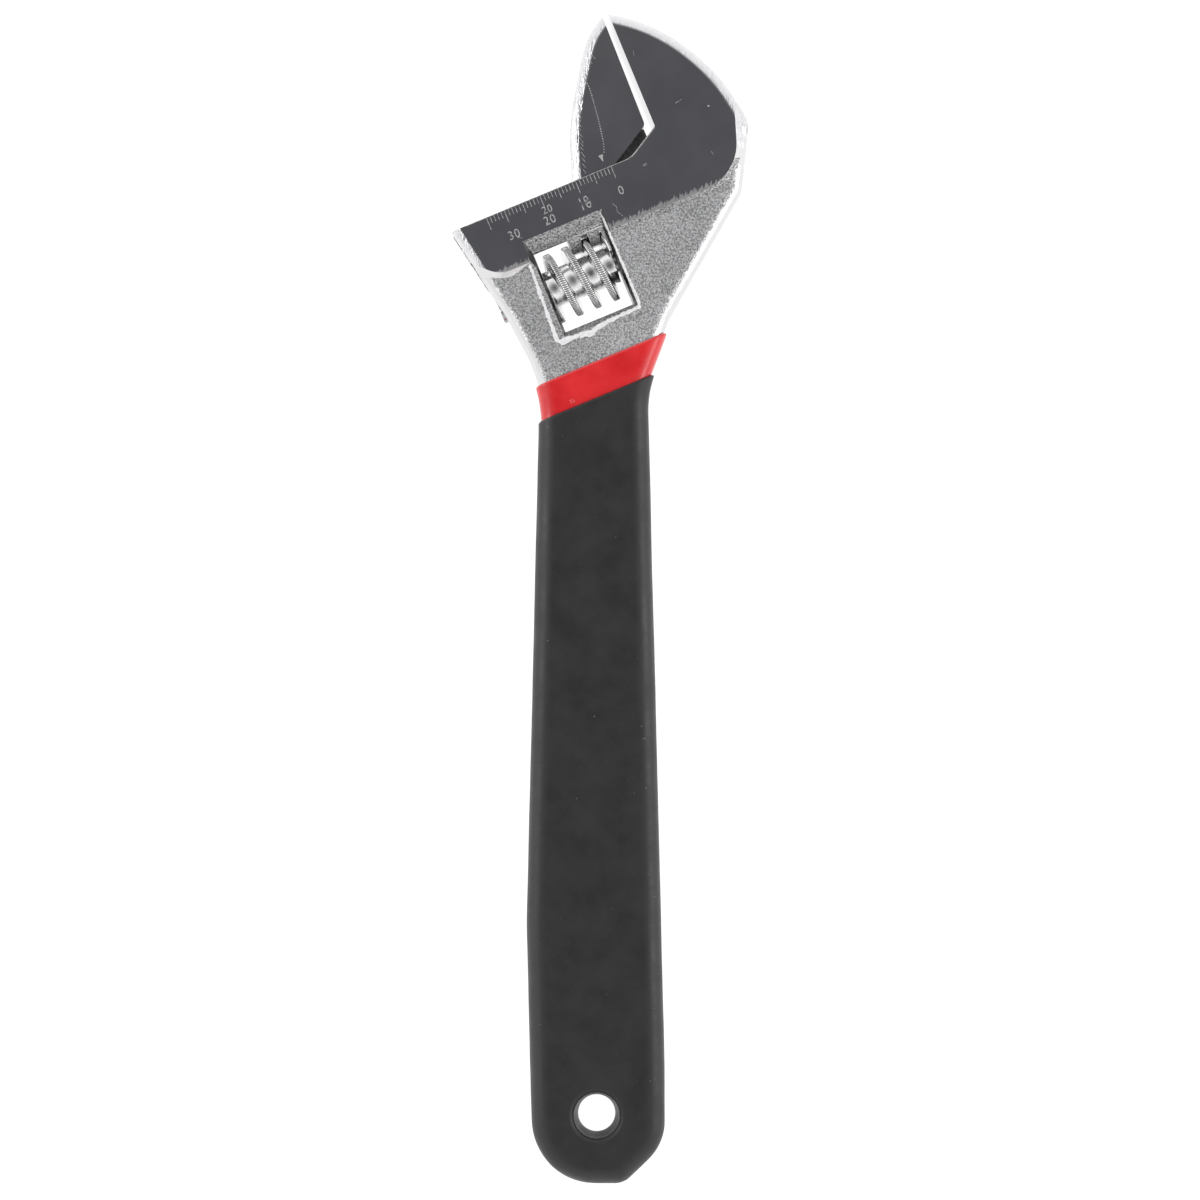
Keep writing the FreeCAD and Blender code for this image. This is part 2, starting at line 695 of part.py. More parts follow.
def make_movable_jaw():
    """The movable jaw: its bit, its web down through the slide and the rack rod in the bore."""
    body = new_body("movable_jaw", head_placement())
    bit_sketch = body_sketch(body, "bit_outline", "XY_Plane")
    outline(bit_sketch, [plain_corner(name, radius) for name, _, _, radius in MOVABLE_JAW])
    bit = body.newObject("PartDesign::Pad", "bit")
    bit.Profile = bit_sketch
    bit.SideType = "Symmetric"
    bind(bit, Length="Sizes.jaw_half * 2")
    doc.recompute()
    soften = body.newObject("PartDesign::Fillet", "back_round")
    soften.Base = (bit, back_edges(bit.Shape))
    bind(soften, Radius="Sizes.jaw_edge_radius")
    doc.recompute()
    web_sketch = body_sketch(body, "web_outline", "XY_Plane")
    polygon(
        web_sketch,
        [
            (size("web_left_u"), size("rod_v"), "Sizes.web_left_u", "Sizes.rod_v"),
            (size("web_right_u"), size("rod_v"), "Sizes.web_right_u", "Sizes.rod_v"),
            (size("web_right_u"), size("web_right_top_v"), "Sizes.web_right_u", "Sizes.web_right_top_v"),
            (size("web_left_u"), size("web_top_v"), "Sizes.web_left_u", "Sizes.web_top_v"),
        ],
    )
    web = body.newObject("PartDesign::Pad", "web")
    web.Profile = web_sketch
    web.SideType = "Symmetric"
    bind(web, Length="Sizes.web_half * 2")
    doc.recompute()
    rod_sketch = body_sketch(body, "rod_circle", "YZ_Plane")
    rod_centre = Vector(size("rod_v"), 0, 0)
    circle = rod_sketch.addGeometry(Part.Circle(rod_centre, Vector(0, 0, 1), size("rod_radius")))
    bound = rod_sketch.addConstraint(Sketcher.Constraint("Radius", circle, size("rod_radius")))
    rod_sketch.setExpression("Constraints[%d]" % bound, "Sizes.rod_radius")
    pin_point(rod_sketch, circle, 3, rod_centre, "Sizes.rod_v", "0")
    rod_sketch.AttachmentOffset = Placement(Vector(0, 0, size("rod_left_u")), Rotation())
    rod = body.newObject("PartDesign::Pad", "rod")
    rod.Profile = rod_sketch
    bind(rod, Length="Sizes.rod_length")
    doc.recompute()
    before = rod.Shape.Volume
    gap = body.newObject("PartDesign::Pocket", "gap")
    gap.Profile = rack_gap_sketch(body)
    gap.SideType = "Symmetric"
    gap.UseCustomVector = True
    lean = math.radians(size("rack_lean"))
    gap.Direction = Vector(math.sin(lean), 0, math.cos(lean))
    bind(gap, Length="Sizes.rod_radius * 3")
    doc.recompute()
    rack = body.newObject("PartDesign::LinearPattern", "rack")
    rack.Originals = [gap]
    rack.Direction = (rod_axis(body), [""])
    rack.Mode = "Spacing"
    bind(rack, Offset="Sizes.thread_pitch", Occurrences="Sizes.rack_gaps")
    body.Tip = rack
    doc.recompute()
    one_gap = before - gap.Shape.Volume
    all_gaps = before - rack.Shape.Volume
    print("rack gap volume %.1f mm3 each, %.1f mm3 in all" % (one_gap, all_gaps))
    if all_gaps < one_gap * (size("rack_gaps") - 1):
        raise RuntimeError("the rack's gaps do not cut the rod")
    return body


def rod_axis(body):
    """The body's own X axis, which the rack repeats along."""
    return [axis for axis in body.Origin.OriginFeatures if axis.Role == "X_Axis"][0]


def back_edges(shape):
    """Edges of the movable jaw's curved back, on both faces: those behind the line from foot to tip."""
    names = []
    foot = Vector(size("back_foot_along"), size("back_foot_across"), 0)
    tip = Vector(size("bit_tip_along"), size("bit_tip_across"), 0)
    chord = tip - foot
    for number in flat_edges(shape, size("jaw_half")):
        edge = shape.Edges[number - 1]
        middle = edge.valueAt((edge.FirstParameter + edge.LastParameter) / 2)
        if chord.cross(middle - foot).z > TOUCH:
            names.append("Edge%d" % number)
    return names


# ---------------------------------------------------------------- knurl, pin and spring


def make_knurl():
    """The knurl: a core with a single-start thread, faced at its ends, bored for the pin and the spring."""
    body = new_body("adjusting_knurl", axis_placement(size("knurl_left_u"), size("knurl_v")))
    profile = body_sketch(body, "core_profile", "XZ_Plane")
    bore = size("knurl_bore_radius")
    core = size("knurl_core_radius")
    length = size("knurl_length")
    pocket = size("spring_pocket_radius")
    step = length - size("spring_pocket_depth")
    bore_text = "Sizes.knurl_bore_radius"
    core_text = "Sizes.knurl_core_radius"
    pocket_text = "Sizes.spring_pocket_radius"
    step_text = "Sizes.knurl_length - Sizes.spring_pocket_depth"
    polygon(
        profile,
        [
            (bore, 0, bore_text, "0"),
            (core, 0, core_text, "0"),
            (core, length, core_text, "Sizes.knurl_length"),
            (pocket, length, pocket_text, "Sizes.knurl_length"),
            (pocket, step, pocket_text, step_text),
            (bore, step, bore_text, step_text),
        ],
    )
    drum = body.newObject("PartDesign::Revolution", "core")
    drum.Profile = profile
    drum.ReferenceAxis = (profile, ["V_Axis"])
    drum.Angle = 360
    doc.recompute()
    thread_sketch = body_sketch(body, "thread_profile", "XZ_Plane")
    start = size("thread_start")
    root = size("thread_root_width") / 2
    crest = size("thread_crest_width") / 2
    sunk = core - size("thread_sink")
    sunk_text = core_text + " - Sizes.thread_sink"
    outer = size("knurl_radius")
    polygon(
        thread_sketch,
        [
            (sunk, start - root, sunk_text, "Sizes.thread_start - Sizes.thread_root_width / 2"),
            (outer, start - crest, "Sizes.knurl_radius", "Sizes.thread_start - Sizes.thread_crest_width / 2"),
            (outer, start + crest, "Sizes.knurl_radius", "Sizes.thread_start + Sizes.thread_crest_width / 2"),
            (sunk, start + root, sunk_text, "Sizes.thread_start + Sizes.thread_root_width / 2"),
        ],
    )
    doc.recompute()
    thread = body.newObject("PartDesign::AdditiveHelix", "thread")
    thread.Profile = thread_sketch
    thread.ReferenceAxis = (thread_sketch, ["V_Axis"])
    thread.Mode = "pitch-turns-angle"
    thread.LeftHanded = False
    bind(thread, Pitch="Sizes.thread_pitch", Turns="Sizes.thread_turns")
    doc.recompute()
    facing_sketch = body_sketch(body, "facing_profile", "XZ_Plane")
    past = 2 * size("thread_pitch")
    past_text = "2 * Sizes.thread_pitch"
    for low, high, low_text, high_text in (
        (-past, 0.0, "-" + past_text, "0"),
        (length, length + past, "Sizes.knurl_length", "Sizes.knurl_length + " + past_text),
    ):
        facing_ring(facing_sketch, outer + OVERCUT, low, high, low_text, high_text)
    doc.recompute()
    facing = body.newObject("PartDesign::Groove", "facing")
    facing.Profile = facing_sketch
    facing.ReferenceAxis = (facing_sketch, ["V_Axis"])
    facing.Angle = 360
    doc.recompute()
    print("knurl volume %.1f mm3, before facing %.1f mm3" % (facing.Shape.Volume, thread.Shape.Volume))
    return body


def facing_ring(sketch, reach, low, high, low_text, high_text):
    """A rectangle from the axis out past the thread, between two heights."""
    first = sketch.GeometryCount
    corners = [(0, low), (reach, low), (reach, high), (0, high)]
    reach_text = "Sizes.knurl_radius + %g" % OVERCUT
    texts = [("0", low_text), (reach_text, low_text), (reach_text, high_text), ("0", high_text)]
    for i in range(4):
        here = Vector(corners[i][0], corners[i][1], 0)
        there = Vector(corners[(i + 1) % 4][0], corners[(i + 1) % 4][1], 0)
        sketch.addGeometry(Part.LineSegment(here, there))
    for i in range(4):
        sketch.addConstraint(Sketcher.Constraint("Coincident", first + (i - 1) % 4, 2, first + i, 1))
        place = Vector(corners[i][0], corners[i][1], 0)
        pin_point(sketch, first + i, 1, place, texts[i][0], texts[i][1])


def make_pin():
    """The knurl pin, with its slotted head in the left cheek."""
    body = new_body("knurl_pin", axis_placement(size("pin_head_u"), size("knurl_v")))
    profile = body_sketch(body, "pin_profile", "XZ_Plane")
    head = size("pin_head_radius")
    stem = size("pin_radius")
    thick = size("pin_head_length")
    length = size("pin_end_u") - size("pin_head_u")
    length_text = "Sizes.pin_end_u - Sizes.pin_head_u"
    polygon(
        profile,
        [
            (0, -thick, "0", "-Sizes.pin_head_length"),
            (head, -thick, "Sizes.pin_head_radius", "-Sizes.pin_head_length"),
            (head, 0, "Sizes.pin_head_radius", "0"),
            (stem, 0, "Sizes.pin_radius", "0"),
            (stem, length, "Sizes.pin_radius", length_text),
            (0, length, "0", length_text),
        ],
    )
    turned = body.newObject("PartDesign::Revolution", "turned")
    turned.Profile = profile
    turned.ReferenceAxis = (profile, ["V_Axis"])
    turned.Angle = 360
    doc.recompute()
    slot_sketch = body_sketch(body, "slot_outline", "XZ_Plane")
    half = size("pin_slot_width") / 2
    floor = size("pin_slot_depth") - thick
    right_text = "Sizes.pin_slot_width / 2"
    mouth_text = "-Sizes.pin_head_length - %g" % OVERCUT
    floor_text = "Sizes.pin_slot_depth - Sizes.pin_head_length"
    polygon(
        slot_sketch,
        [
            (-half, -thick - OVERCUT, "-" + right_text, mouth_text),
            (half, -thick - OVERCUT, right_text, mouth_text),
            (half, floor, right_text, floor_text),
            (-half, floor, "-" + right_text, floor_text),
        ],
    )
    slot = body.newObject("PartDesign::Pocket", "slot")
    slot.Profile = slot_sketch
    slot.SideType = "Symmetric"
    bind(slot, Length="Sizes.pin_head_radius * 3")
    doc.recompute()
    print("pin slot takes %.2f mm3" % (turned.Shape.Volume - slot.Shape.Volume))
    return body


def make_spring():
    """The knurl's coil spring, from the floor of its pocket to the window's right wall."""
    pocket_floor = "(Sizes.knurl_left_u + Sizes.knurl_length - Sizes.spring_pocket_depth)"
    height = "(Sizes.window_right_u - %s - 2 * Sizes.spring_wire_radius)" % pocket_floor
    coil = doc.addObject("Part::Helix", "spring_coil")
    bind(coil, Radius="Sizes.spring_coil_radius", Height=height, Pitch=height + " / Sizes.spring_coils")
    section = doc.addObject("Part::Circle", "spring_section")
    bind(section, Radius="Sizes.spring_wire_radius")
    section.Placement = Placement(Vector(size("spring_coil_radius"), 0, 0), Rotation(Vector(1, 0, 0), 90))
    doc.recompute()
    spring = doc.addObject("Part::Sweep", "spring_sweep")
    spring.Sections = [section]
    spring.Spine = (coil, ["Edge%d" % number for number in range(1, len(coil.Shape.Edges) + 1)])
    spring.Solid = True
    spring.Frenet = True
    spring.Label = "knurl_spring"
    floor = size("knurl_left_u") + size("knurl_length") - size("spring_pocket_depth")
    spring.Placement = axis_placement(floor + size("spring_wire_radius"), size("knurl_v"))
    return spring


# ---------------------------------------------------------------- build, check, write


def check(parts):
    """Stop if any object failed or any sub-part is missing or broken."""
    failed = [thing.Name for thing in doc.Objects if "Invalid" in thing.State or "Error" in thing.State]
    if failed:
        raise RuntimeError("failed objects: " + ", ".join(failed))
    for part in parts:
        if part.Shape.isNull() or not part.Shape.isValid():
            raise RuntimeError("bad shape: " + part.Label)
        solids = len(part.Shape.Solids)
        print("%-20s %d solid(s), %10.1f mm3" % (part.Label, solids, part.Shape.Volume))
        if solids != 1:
            raise RuntimeError("more or less than one solid: " + part.Label)


def main():
    """Build every sub-part and write one STEP file for each."""
    source = forging_outline()
    bare = slab("bare", source, "")
    parts = [make_forging(source, bare)]
    parts += make_coats(source, bare)
    parts += [make_movable_jaw(), make_knurl(), make_pin(), make_spring()]
    doc.recompute()
    check(parts)
    for part in parts:
        part.Shape.exportStep("parts/%s.step" % part.Label)


main()
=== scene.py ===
"""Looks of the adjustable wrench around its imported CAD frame.

The row frame is in metres: +Y to the head, +Z up. The head has a frame of its own in millimetres: its
u runs along the slide to the fixed jaw, and its v points into the jaw opening. head() turns its places
into the row frame. The faces' finishes are chosen by where the faces lie in the head's frame.
"""
import json
import math

import bmesh
import bpy
from mathutils import Matrix, Vector, noise
from mathutils.bvhtree import BVHTree

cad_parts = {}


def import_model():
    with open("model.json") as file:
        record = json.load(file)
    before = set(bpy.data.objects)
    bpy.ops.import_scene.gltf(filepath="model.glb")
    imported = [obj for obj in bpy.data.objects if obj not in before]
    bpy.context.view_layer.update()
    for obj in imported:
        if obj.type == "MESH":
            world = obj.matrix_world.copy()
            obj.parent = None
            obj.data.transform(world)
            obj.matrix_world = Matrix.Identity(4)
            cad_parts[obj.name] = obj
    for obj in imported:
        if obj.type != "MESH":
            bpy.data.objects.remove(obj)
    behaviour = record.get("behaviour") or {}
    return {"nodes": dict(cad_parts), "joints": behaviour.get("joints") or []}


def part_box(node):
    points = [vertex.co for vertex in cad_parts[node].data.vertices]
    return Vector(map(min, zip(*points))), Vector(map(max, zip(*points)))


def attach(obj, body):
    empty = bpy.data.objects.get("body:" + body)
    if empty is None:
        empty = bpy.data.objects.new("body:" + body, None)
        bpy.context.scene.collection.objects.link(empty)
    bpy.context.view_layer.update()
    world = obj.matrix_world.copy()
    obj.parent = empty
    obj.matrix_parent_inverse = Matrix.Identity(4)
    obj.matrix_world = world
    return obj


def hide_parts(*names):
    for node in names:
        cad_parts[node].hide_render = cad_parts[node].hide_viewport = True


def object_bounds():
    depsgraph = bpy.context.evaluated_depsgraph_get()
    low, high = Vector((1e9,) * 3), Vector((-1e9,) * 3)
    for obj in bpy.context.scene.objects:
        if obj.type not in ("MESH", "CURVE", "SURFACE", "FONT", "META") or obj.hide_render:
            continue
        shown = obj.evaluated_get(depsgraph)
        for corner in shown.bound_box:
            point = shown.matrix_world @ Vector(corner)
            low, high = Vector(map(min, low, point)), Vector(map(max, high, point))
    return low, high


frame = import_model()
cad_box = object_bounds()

MM = 0.001
# Points of one mesh nearer than this become one.
MERGE = 2e-6
JOINTS = {joint["name"]: joint for joint in frame["joints"]}
U = -Vector(JOINTS["jaw_slide"]["axis"]).normalized()
Z = Vector((0, 0, 1))
V = Z.cross(U)
KNURL_CENTRE = Vector(JOINTS["knurl_spin"]["pos_m"])
# The knurl's middle in the head's frame.
KNURL_U = -32.4
KNURL_V = -23.06
HEAD = KNURL_CENTRE - U * KNURL_U * MM - V * KNURL_V * MM
# Half thickness of the head's plateau, of its cheeks, and a height between the cheeks and the jaw's web.
FACE = cad_box[1].z / MM
CHEEK = 7.8
ABOVE_WEB = 5.5
# The slide's angle to the row frame's X.
ACROSS = math.atan2(U.y, U.x)


def head(u, v, z=0.0):
    """A point of the head's frame, in millimetres, as a row-frame point in metres."""
    return HEAD + (U * u + V * v + Z * z) * MM


def mesh_object(name, vertices, faces, material, body, smooth=True):
    """A mesh piece that rides on a body and takes its finish from a slot."""
    mesh = bpy.data.meshes.new(name)
    mesh.from_pydata([tuple(vertex) for vertex in vertices], [], faces)
    return finish_object(name, mesh, material, body, smooth)


def finish_object(name, mesh, material, body, smooth=True):
    """Clean a piece's mesh, turn its faces outward, give it its material and let it ride."""
    work = bmesh.new()
    work.from_mesh(mesh)
    bmesh.ops.remove_doubles(work, verts=work.verts, dist=MERGE)
    bmesh.ops.dissolve_degenerate(work, edges=work.edges, dist=MERGE)
    bmesh.ops.recalc_face_normals(work, faces=work.faces)
    work.to_mesh(mesh)
    work.free()
    for face in mesh.polygons:
        face.use_smooth = smooth
    mesh.materials.append(material)
    piece = bpy.data.objects.new(name, mesh)
    bpy.context.scene.collection.objects.link(piece)
    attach(piece, body)
    return piece


# ---------------------------------------------------------------- stage

# The surround's greys by height, from 0 at the horizon to 1 straight overhead, and its colour there.
SURROUND_GREYS = ((0.70, 0.92), (0.90, 0.42), (0.975, 0.105))
OVERHEAD_COLOUR = (0.092, 0.093, 0.102, 1)
SURROUND_STRENGTH = 1.1
# The floor's half size and its distance below the tool, in metres.
FLOOR_HALF = 3.0
FLOOR_GAP = 0.00005
FLOOR_GREY = 0.15
FLOOR_GLOW = 1.02
# The camera's place, sensor and lens, in millimetres.
CAMERA_PLACE = (0.865, 134.36, 893.0)
CAMERA_SENSOR = 36.0
CAMERA_LENS = 102.2


def world():
    """A bright surround that darkens overhead, as under a camera's boom."""
    surround = bpy.data.worlds.new("surround")
    bpy.context.scene.world = surround
    surround.use_nodes = True
    nodes = surround.node_tree.nodes
    links = surround.node_tree.links
    nodes.clear()
    coords = nodes.new("ShaderNodeTexCoord")
    split = nodes.new("ShaderNodeSeparateXYZ")
    ramp = nodes.new("ShaderNodeValToRGB")
    ramp.color_ramp.elements[0].position = 0.0
    ramp.color_ramp.elements[0].color = (1.0, 1.0, 1.0, 1)
    ramp.color_ramp.elements[1].position = 1.0
    ramp.color_ramp.elements[1].color = OVERHEAD_COLOUR
    for position, level in SURROUND_GREYS:
        stop = ramp.color_ramp.elements.new(position)
        stop.color = (level, level, level * 1.02, 1)
    background = nodes.new("ShaderNodeBackground")
    background.inputs["Strength"].default_value = SURROUND_STRENGTH
    output = nodes.new("ShaderNodeOutputWorld")
    links.new(coords.outputs["Generated"], split.inputs[0])
    links.new(split.outputs["Z"], ramp.inputs["Fac"])
    links.new(ramp.outputs["Color"], background.inputs["Color"])
    links.new(background.outputs[0], output.inputs[0])


def floor():
    """A plain white floor that the tool lies on."""
    mesh = bpy.data.meshes.new("floor")
    z = cad_box[0].z - FLOOR_GAP
    signs = ((-1, -1), (1, -1), (1, 1), (-1, 1))
    mesh.from_pydata([(x * FLOOR_HALF, y * FLOOR_HALF, z) for x, y in signs], [], [(0, 1, 2, 3)])
    ground = bpy.data.objects.new("floor", mesh)
    bpy.context.scene.collection.objects.link(ground)
    material = bpy.data.materials.new("floor_paper")
    material.use_nodes = True
    shader = material.node_tree.nodes["Principled BSDF"]
    shader.inputs["Base Color"].default_value = (FLOOR_GREY, FLOOR_GREY, FLOOR_GREY, 1)
    shader.inputs["Roughness"].default_value = 0.9
    shader.inputs["Emission Color"].default_value = (1, 1, 1, 1)
    shader.inputs["Emission Strength"].default_value = FLOOR_GLOW
    ground.data.materials.append(material)


def lamp(name, place, target, power, width):
    """A soft square area light."""
    light = bpy.data.lights.new(name, "AREA")
    light.energy = power
    light.size = width
    thing = bpy.data.objects.new(name, light)
    thing.location = place
    thing.rotation_mode = "QUATERNION"
    thing.rotation_quaternion = (Vector(target) - Vector(place)).to_track_quat("-Z", "Y")
    bpy.context.scene.collection.objects.link(thing)


def camera():
    """Straight down over the middle of the tool."""
    data = bpy.data.cameras.new("camera")
    data.sensor_width = CAMERA_SENSOR
    data.lens = CAMERA_LENS
    eye = bpy.data.objects.new("camera", data)
    eye.location = [part * MM for part in CAMERA_PLACE]
    bpy.context.scene.collection.objects.link(eye)
    bpy.context.scene.camera = eye


def stage():
    """Surround, floor, lights, camera and the plain tone curve."""
    world()
    floor()
    middle = (0, 0.15, 0)
    lamp("left_softbox", (-0.8, 0.3, 0.45), middle, 1.6, 0.5)
    lamp("right_softbox", (0.8, 0.1, 0.45), middle, 1.6, 0.5)
    camera()
    bpy.context.scene.view_settings.view_transform = "Standard"


# ---------------------------------------------------------------- materials

# The plateau's lower edge breaks up into grain between these two lines, along hairs of this length.
FRINGE_FROM_V = -15.1
FRINGE_TO_V = -14.8
FRINGE_HAIR = 1.6
# The sleeve is darker within the first distance of the hang hole's middle, and plain from the second.
HOLE_DARKENING_FROM = 6.0
HOLE_DARKENING_TO = 11.0


class Look:
    """A Principled material with short ways to drive its sockets from procedural textures."""

    def __init__(self, name, colour, roughness, metallic=0.0):
        self.material = bpy.data.materials.new(name)
        self.material.use_nodes = True
        self.nodes = self.material.node_tree.nodes
        self.links = self.material.node_tree.links
        self.shader = self.nodes["Principled BSDF"]
        self.shader.inputs["Base Color"].default_value = (*colour, 1)
        self.shader.inputs["Roughness"].default_value = roughness
        self.shader.inputs["Metallic"].default_value = metallic
        self.coords = self.nodes.new("ShaderNodeTexCoord").outputs["Object"]

    def stretched(self, turn, scale):
        """Object coordinates turned about Z by an angle and scaled along each axis."""
        mapping = self.nodes.new("ShaderNodeMapping")
        mapping.inputs["Rotation"].default_value = (0, 0, turn)
        mapping.inputs["Scale"].default_value = scale
        self.links.new(self.coords, mapping.inputs["Vector"])
        return mapping.outputs["Vector"]

    def noise(self, scale, detail=4.0, roughness=0.6, vector=None):
        """A noise texture's value; its scale is in cycles per metre."""
        texture = self.nodes.new("ShaderNodeTexNoise")
        texture.inputs["Scale"].default_value = scale
        texture.inputs["Detail"].default_value = detail
        texture.inputs["Roughness"].default_value = roughness
        self.links.new(vector or self.coords, texture.inputs["Vector"])
        return texture.outputs["Fac"]

    def spread(self, value, low, high, start=0.35, end=0.65):
        """A value stretched from [start, end] to [low, high] and kept inside them."""
        node = self.nodes.new("ShaderNodeMapRange")
        node.inputs["From Min"].default_value = start
        node.inputs["From Max"].default_value = end
        node.inputs["To Min"].default_value = low
        node.inputs["To Max"].default_value = high
        self.links.new(value, node.inputs["Value"])
        return node.outputs["Result"]

    def sum(self, first, second, operation="ADD"):
        """Two values joined by a plain operation."""
        node = self.nodes.new("ShaderNodeMath")
        node.operation = operation
        for socket, value in zip(node.inputs, (first, second)):
            if isinstance(value, float):
                socket.default_value = value
            else:
                self.links.new(value, socket)
        return node.outputs[0]

    def mix(self, factor, first, second):
        """A colour between two colours, the first of which may come from another node."""
        node = self.nodes.new("ShaderNodeMix")
        node.data_type = "RGBA"
        if isinstance(first, tuple):
            node.inputs["A"].default_value = (*first, 1)
        else:
            self.links.new(first, node.inputs["A"])
        node.inputs["B"].default_value = (*second, 1)
        self.links.new(factor, node.inputs["Factor"])
        return node.outputs["Result"]

    def drive(self, socket, value):
        """Link a value to one of the shader's sockets."""
        self.links.new(value, self.shader.inputs[socket])

    def bump(self, height, strength, distance):
        """Drive the shader's normal from a height."""
        node = self.nodes.new("ShaderNodeBump")
        node.inputs["Strength"].default_value = strength
        node.inputs["Distance"].default_value = distance
        self.links.new(height, node.inputs["Height"])
        self.drive("Normal", node.outputs["Normal"])


def grinding(look, fineness=2600.0):
    """Fine lines left by grinding square to the slide."""
    return look.noise(1.0, 3.0, 0.7, look.stretched(-ACROSS, (fineness, 110.0, 110.0)))


def polished_chrome():
    """The ground and polished faces, which break up into grain along the plateau's lower edge."""
    look = Look("polished_chrome", (0.66, 0.66, 0.675), 0.13, 1.0)
    smears = look.noise(45.0)
    scratches = look.noise(1.0, 1.0, 0.5, look.stretched(-ACROSS + 0.5, (1500.0, 60.0, 60.0)))
    fringe = plateau_fringe(look)
    plain = look.mix(look.spread(smears, 0.0, 1.0), (0.635, 0.635, 0.66), (0.675, 0.675, 0.70))
    grain = look.noise(2100.0, 2.0)
    look.drive("Base Color", look.mix(fringe, plain, (0.62, 0.62, 0.62)))
    dulling = look.sum(fringe, 0.22, "MULTIPLY")
    look.drive("Roughness", look.sum(look.spread(smears, 0.12, 0.17), dulling))
    marks = look.sum(look.spread(grinding(look), 0.0, 0.3), look.spread(scratches, 0.0, 1.0, 0.70, 0.74))
    grain_height = look.sum(fringe, 9.0, "MULTIPLY")
    rough = look.sum(grain_height, look.spread(grain, 0.0, 1.0), "MULTIPLY")
    look.bump(look.sum(marks, rough), 0.14, 0.00003)
    return look.material


def plateau_fringe(look):
    """1 along the ragged lower edge of the plateau, 0 over the rest of it."""
    turned = look.nodes.new("ShaderNodeVectorRotate")
    turned.rotation_type = "Z_AXIS"
    turned.inputs["Center"].default_value = HEAD
    turned.inputs["Angle"].default_value = -ACROSS
    look.links.new(look.coords, turned.inputs["Vector"])
    split = look.nodes.new("ShaderNodeSeparateXYZ")
    look.links.new(turned.outputs["Vector"], split.inputs[0])
    hairs = look.noise(1.0, 3.0, 0.7, look.stretched(-ACROSS, (1700.0, 330.0, 330.0)))
    v = look.sum(split.outputs["Y"], -HEAD.y)
    height = look.sum(v, look.spread(hairs, 0.0, FRINGE_HAIR * MM), "SUBTRACT")
    return look.spread(height, 1.0, 0.0, FRINGE_FROM_V * MM, FRINGE_TO_V * MM)


def grainy_chrome(name, dark, light):
    """Plating over a grainy forged skin, between two greys."""
    look = Look(name, (light, light, light), 0.3, 1.0)
    grain = look.noise(2150.0, 3.0, 0.7)
    patches = look.noise(70.0, 3.0, 0.5)
    speckle = look.spread(grain, 0.0, 1.0, 0.41, 0.58)
    look.drive("Roughness", look.spread(patches, 0.28, 0.36))
    look.drive("Base Color", look.mix(speckle, (dark, dark, dark), (light, light, light)))
    look.bump(grain, 0.7, 0.0002)
    return look.material


def brushed_chrome():
    """The plateau's rounded rim: the grinding lines run out over it in hairs."""
    look = Look("brushed_chrome", (0.74, 0.74, 0.75), 0.2, 1.0)
    hairs = look.noise(1.0, 2.0, vector=look.stretched(-ACROSS, (2300.0, 260.0, 260.0)))
    look.drive("Roughness", look.spread(hairs, 0.14, 0.28))
    look.bump(hairs, 1.0, 0.0004)
    return look.material


def side_chrome():
    """The rounded sides: bright plating over faint forging marks."""
    look = Look("side_chrome", (0.70, 0.70, 0.70), 0.22, 1.0)
    waves = look.noise(240.0)
    look.drive("Roughness", look.spread(waves, 0.18, 0.3))
    look.bump(look.noise(700.0), 0.25, 0.0001)
    return look.material


def lip_chrome():
    """The lip thrown up around the window: plating of frosty grain, coloured almost white as a painted
    highlight along the ridge.
    """
    look = Look("lip_chrome", (0.9, 0.9, 0.9), 0.4, 0.05)
    frost = look.noise(1300.0, 3.0)
    whiteness = look.spread(frost, 0.0, 1.0)
    look.drive("Base Color", look.mix(whiteness, (0.8, 0.8, 0.8), (0.98, 0.98, 0.98)))
    look.drive("Roughness", look.spread(frost, 0.3, 0.5))
    look.bump(frost, 0.5, 0.00012)
    return look.material


def notch_chrome():
    """The serrations' notches: plating painted dark as the shade in them, in uneven patches."""
    look = Look("notch_chrome", (0.2, 0.2, 0.2), 0.35, 1.0)
    notch_noise = look.noise(1800.0, 2.0)
    notch_lightness = look.spread(notch_noise, 0.0, 1.0)
    look.drive("Base Color", look.mix(notch_lightness, (0.16, 0.16, 0.16), (0.34, 0.34, 0.34)))
    look.bump(notch_noise, 0.2, 0.00004)
    return look.material


def shaded_chrome():
    """The recessed web under the jaw and the window's end walls: dull plating painted dark as the shade
    that falls in these recesses, with fine lines.
    """
    look = Look("shaded_chrome", (0.16, 0.155, 0.155), 0.3, 1.0)
    stains = look.spread(look.noise(420.0, 3.0), 0.0, 1.0)
    look.drive("Base Color", look.mix(stains, (0.10, 0.097, 0.097), (0.22, 0.215, 0.21)))
    look.drive("Roughness", look.spread(grinding(look), 0.22, 0.4))
    look.bump(grinding(look, 1500.0), 0.3, 0.00005)
    return look.material


def knurl_chrome():
    """The knurl: bright plating with darker patches here and there."""
    look = Look("knurl_chrome", (0.8, 0.8, 0.8), 0.16, 1.0)
    stains = look.spread(look.noise(420.0, 3.0), 0.0, 1.0)
    look.drive("Base Color", look.mix(stains, (0.72, 0.71, 0.70), (0.94, 0.94, 0.94)))
    look.drive("Roughness", look.spread(look.noise(500.0, 3.0), 0.14, 0.3))
    look.bump(look.noise(1500.0, 3.0), 0.12, 0.00005)
    return look.material


def red_vinyl():
    """The red undercoat: glossy dipped vinyl with slow waves."""
    look = Look("red_vinyl", (0.62, 0.018, 0.03), 0.2)
    look.shader.inputs["Coat Weight"].default_value = 0.3
    look.shader.inputs["Coat Roughness"].default_value = 0.06
    depth = look.spread(look.noise(90.0, 3.0), 0.0, 1.0)
    look.drive("Base Color", look.mix(depth, (0.66, 0.016, 0.020), (0.80, 0.030, 0.034)))
    look.drive("Roughness", look.spread(look.noise(300.0, 3.0), 0.16, 0.28))
    look.bump(look.noise(160.0, 2.0), 0.2, 0.0004)
    return look.material


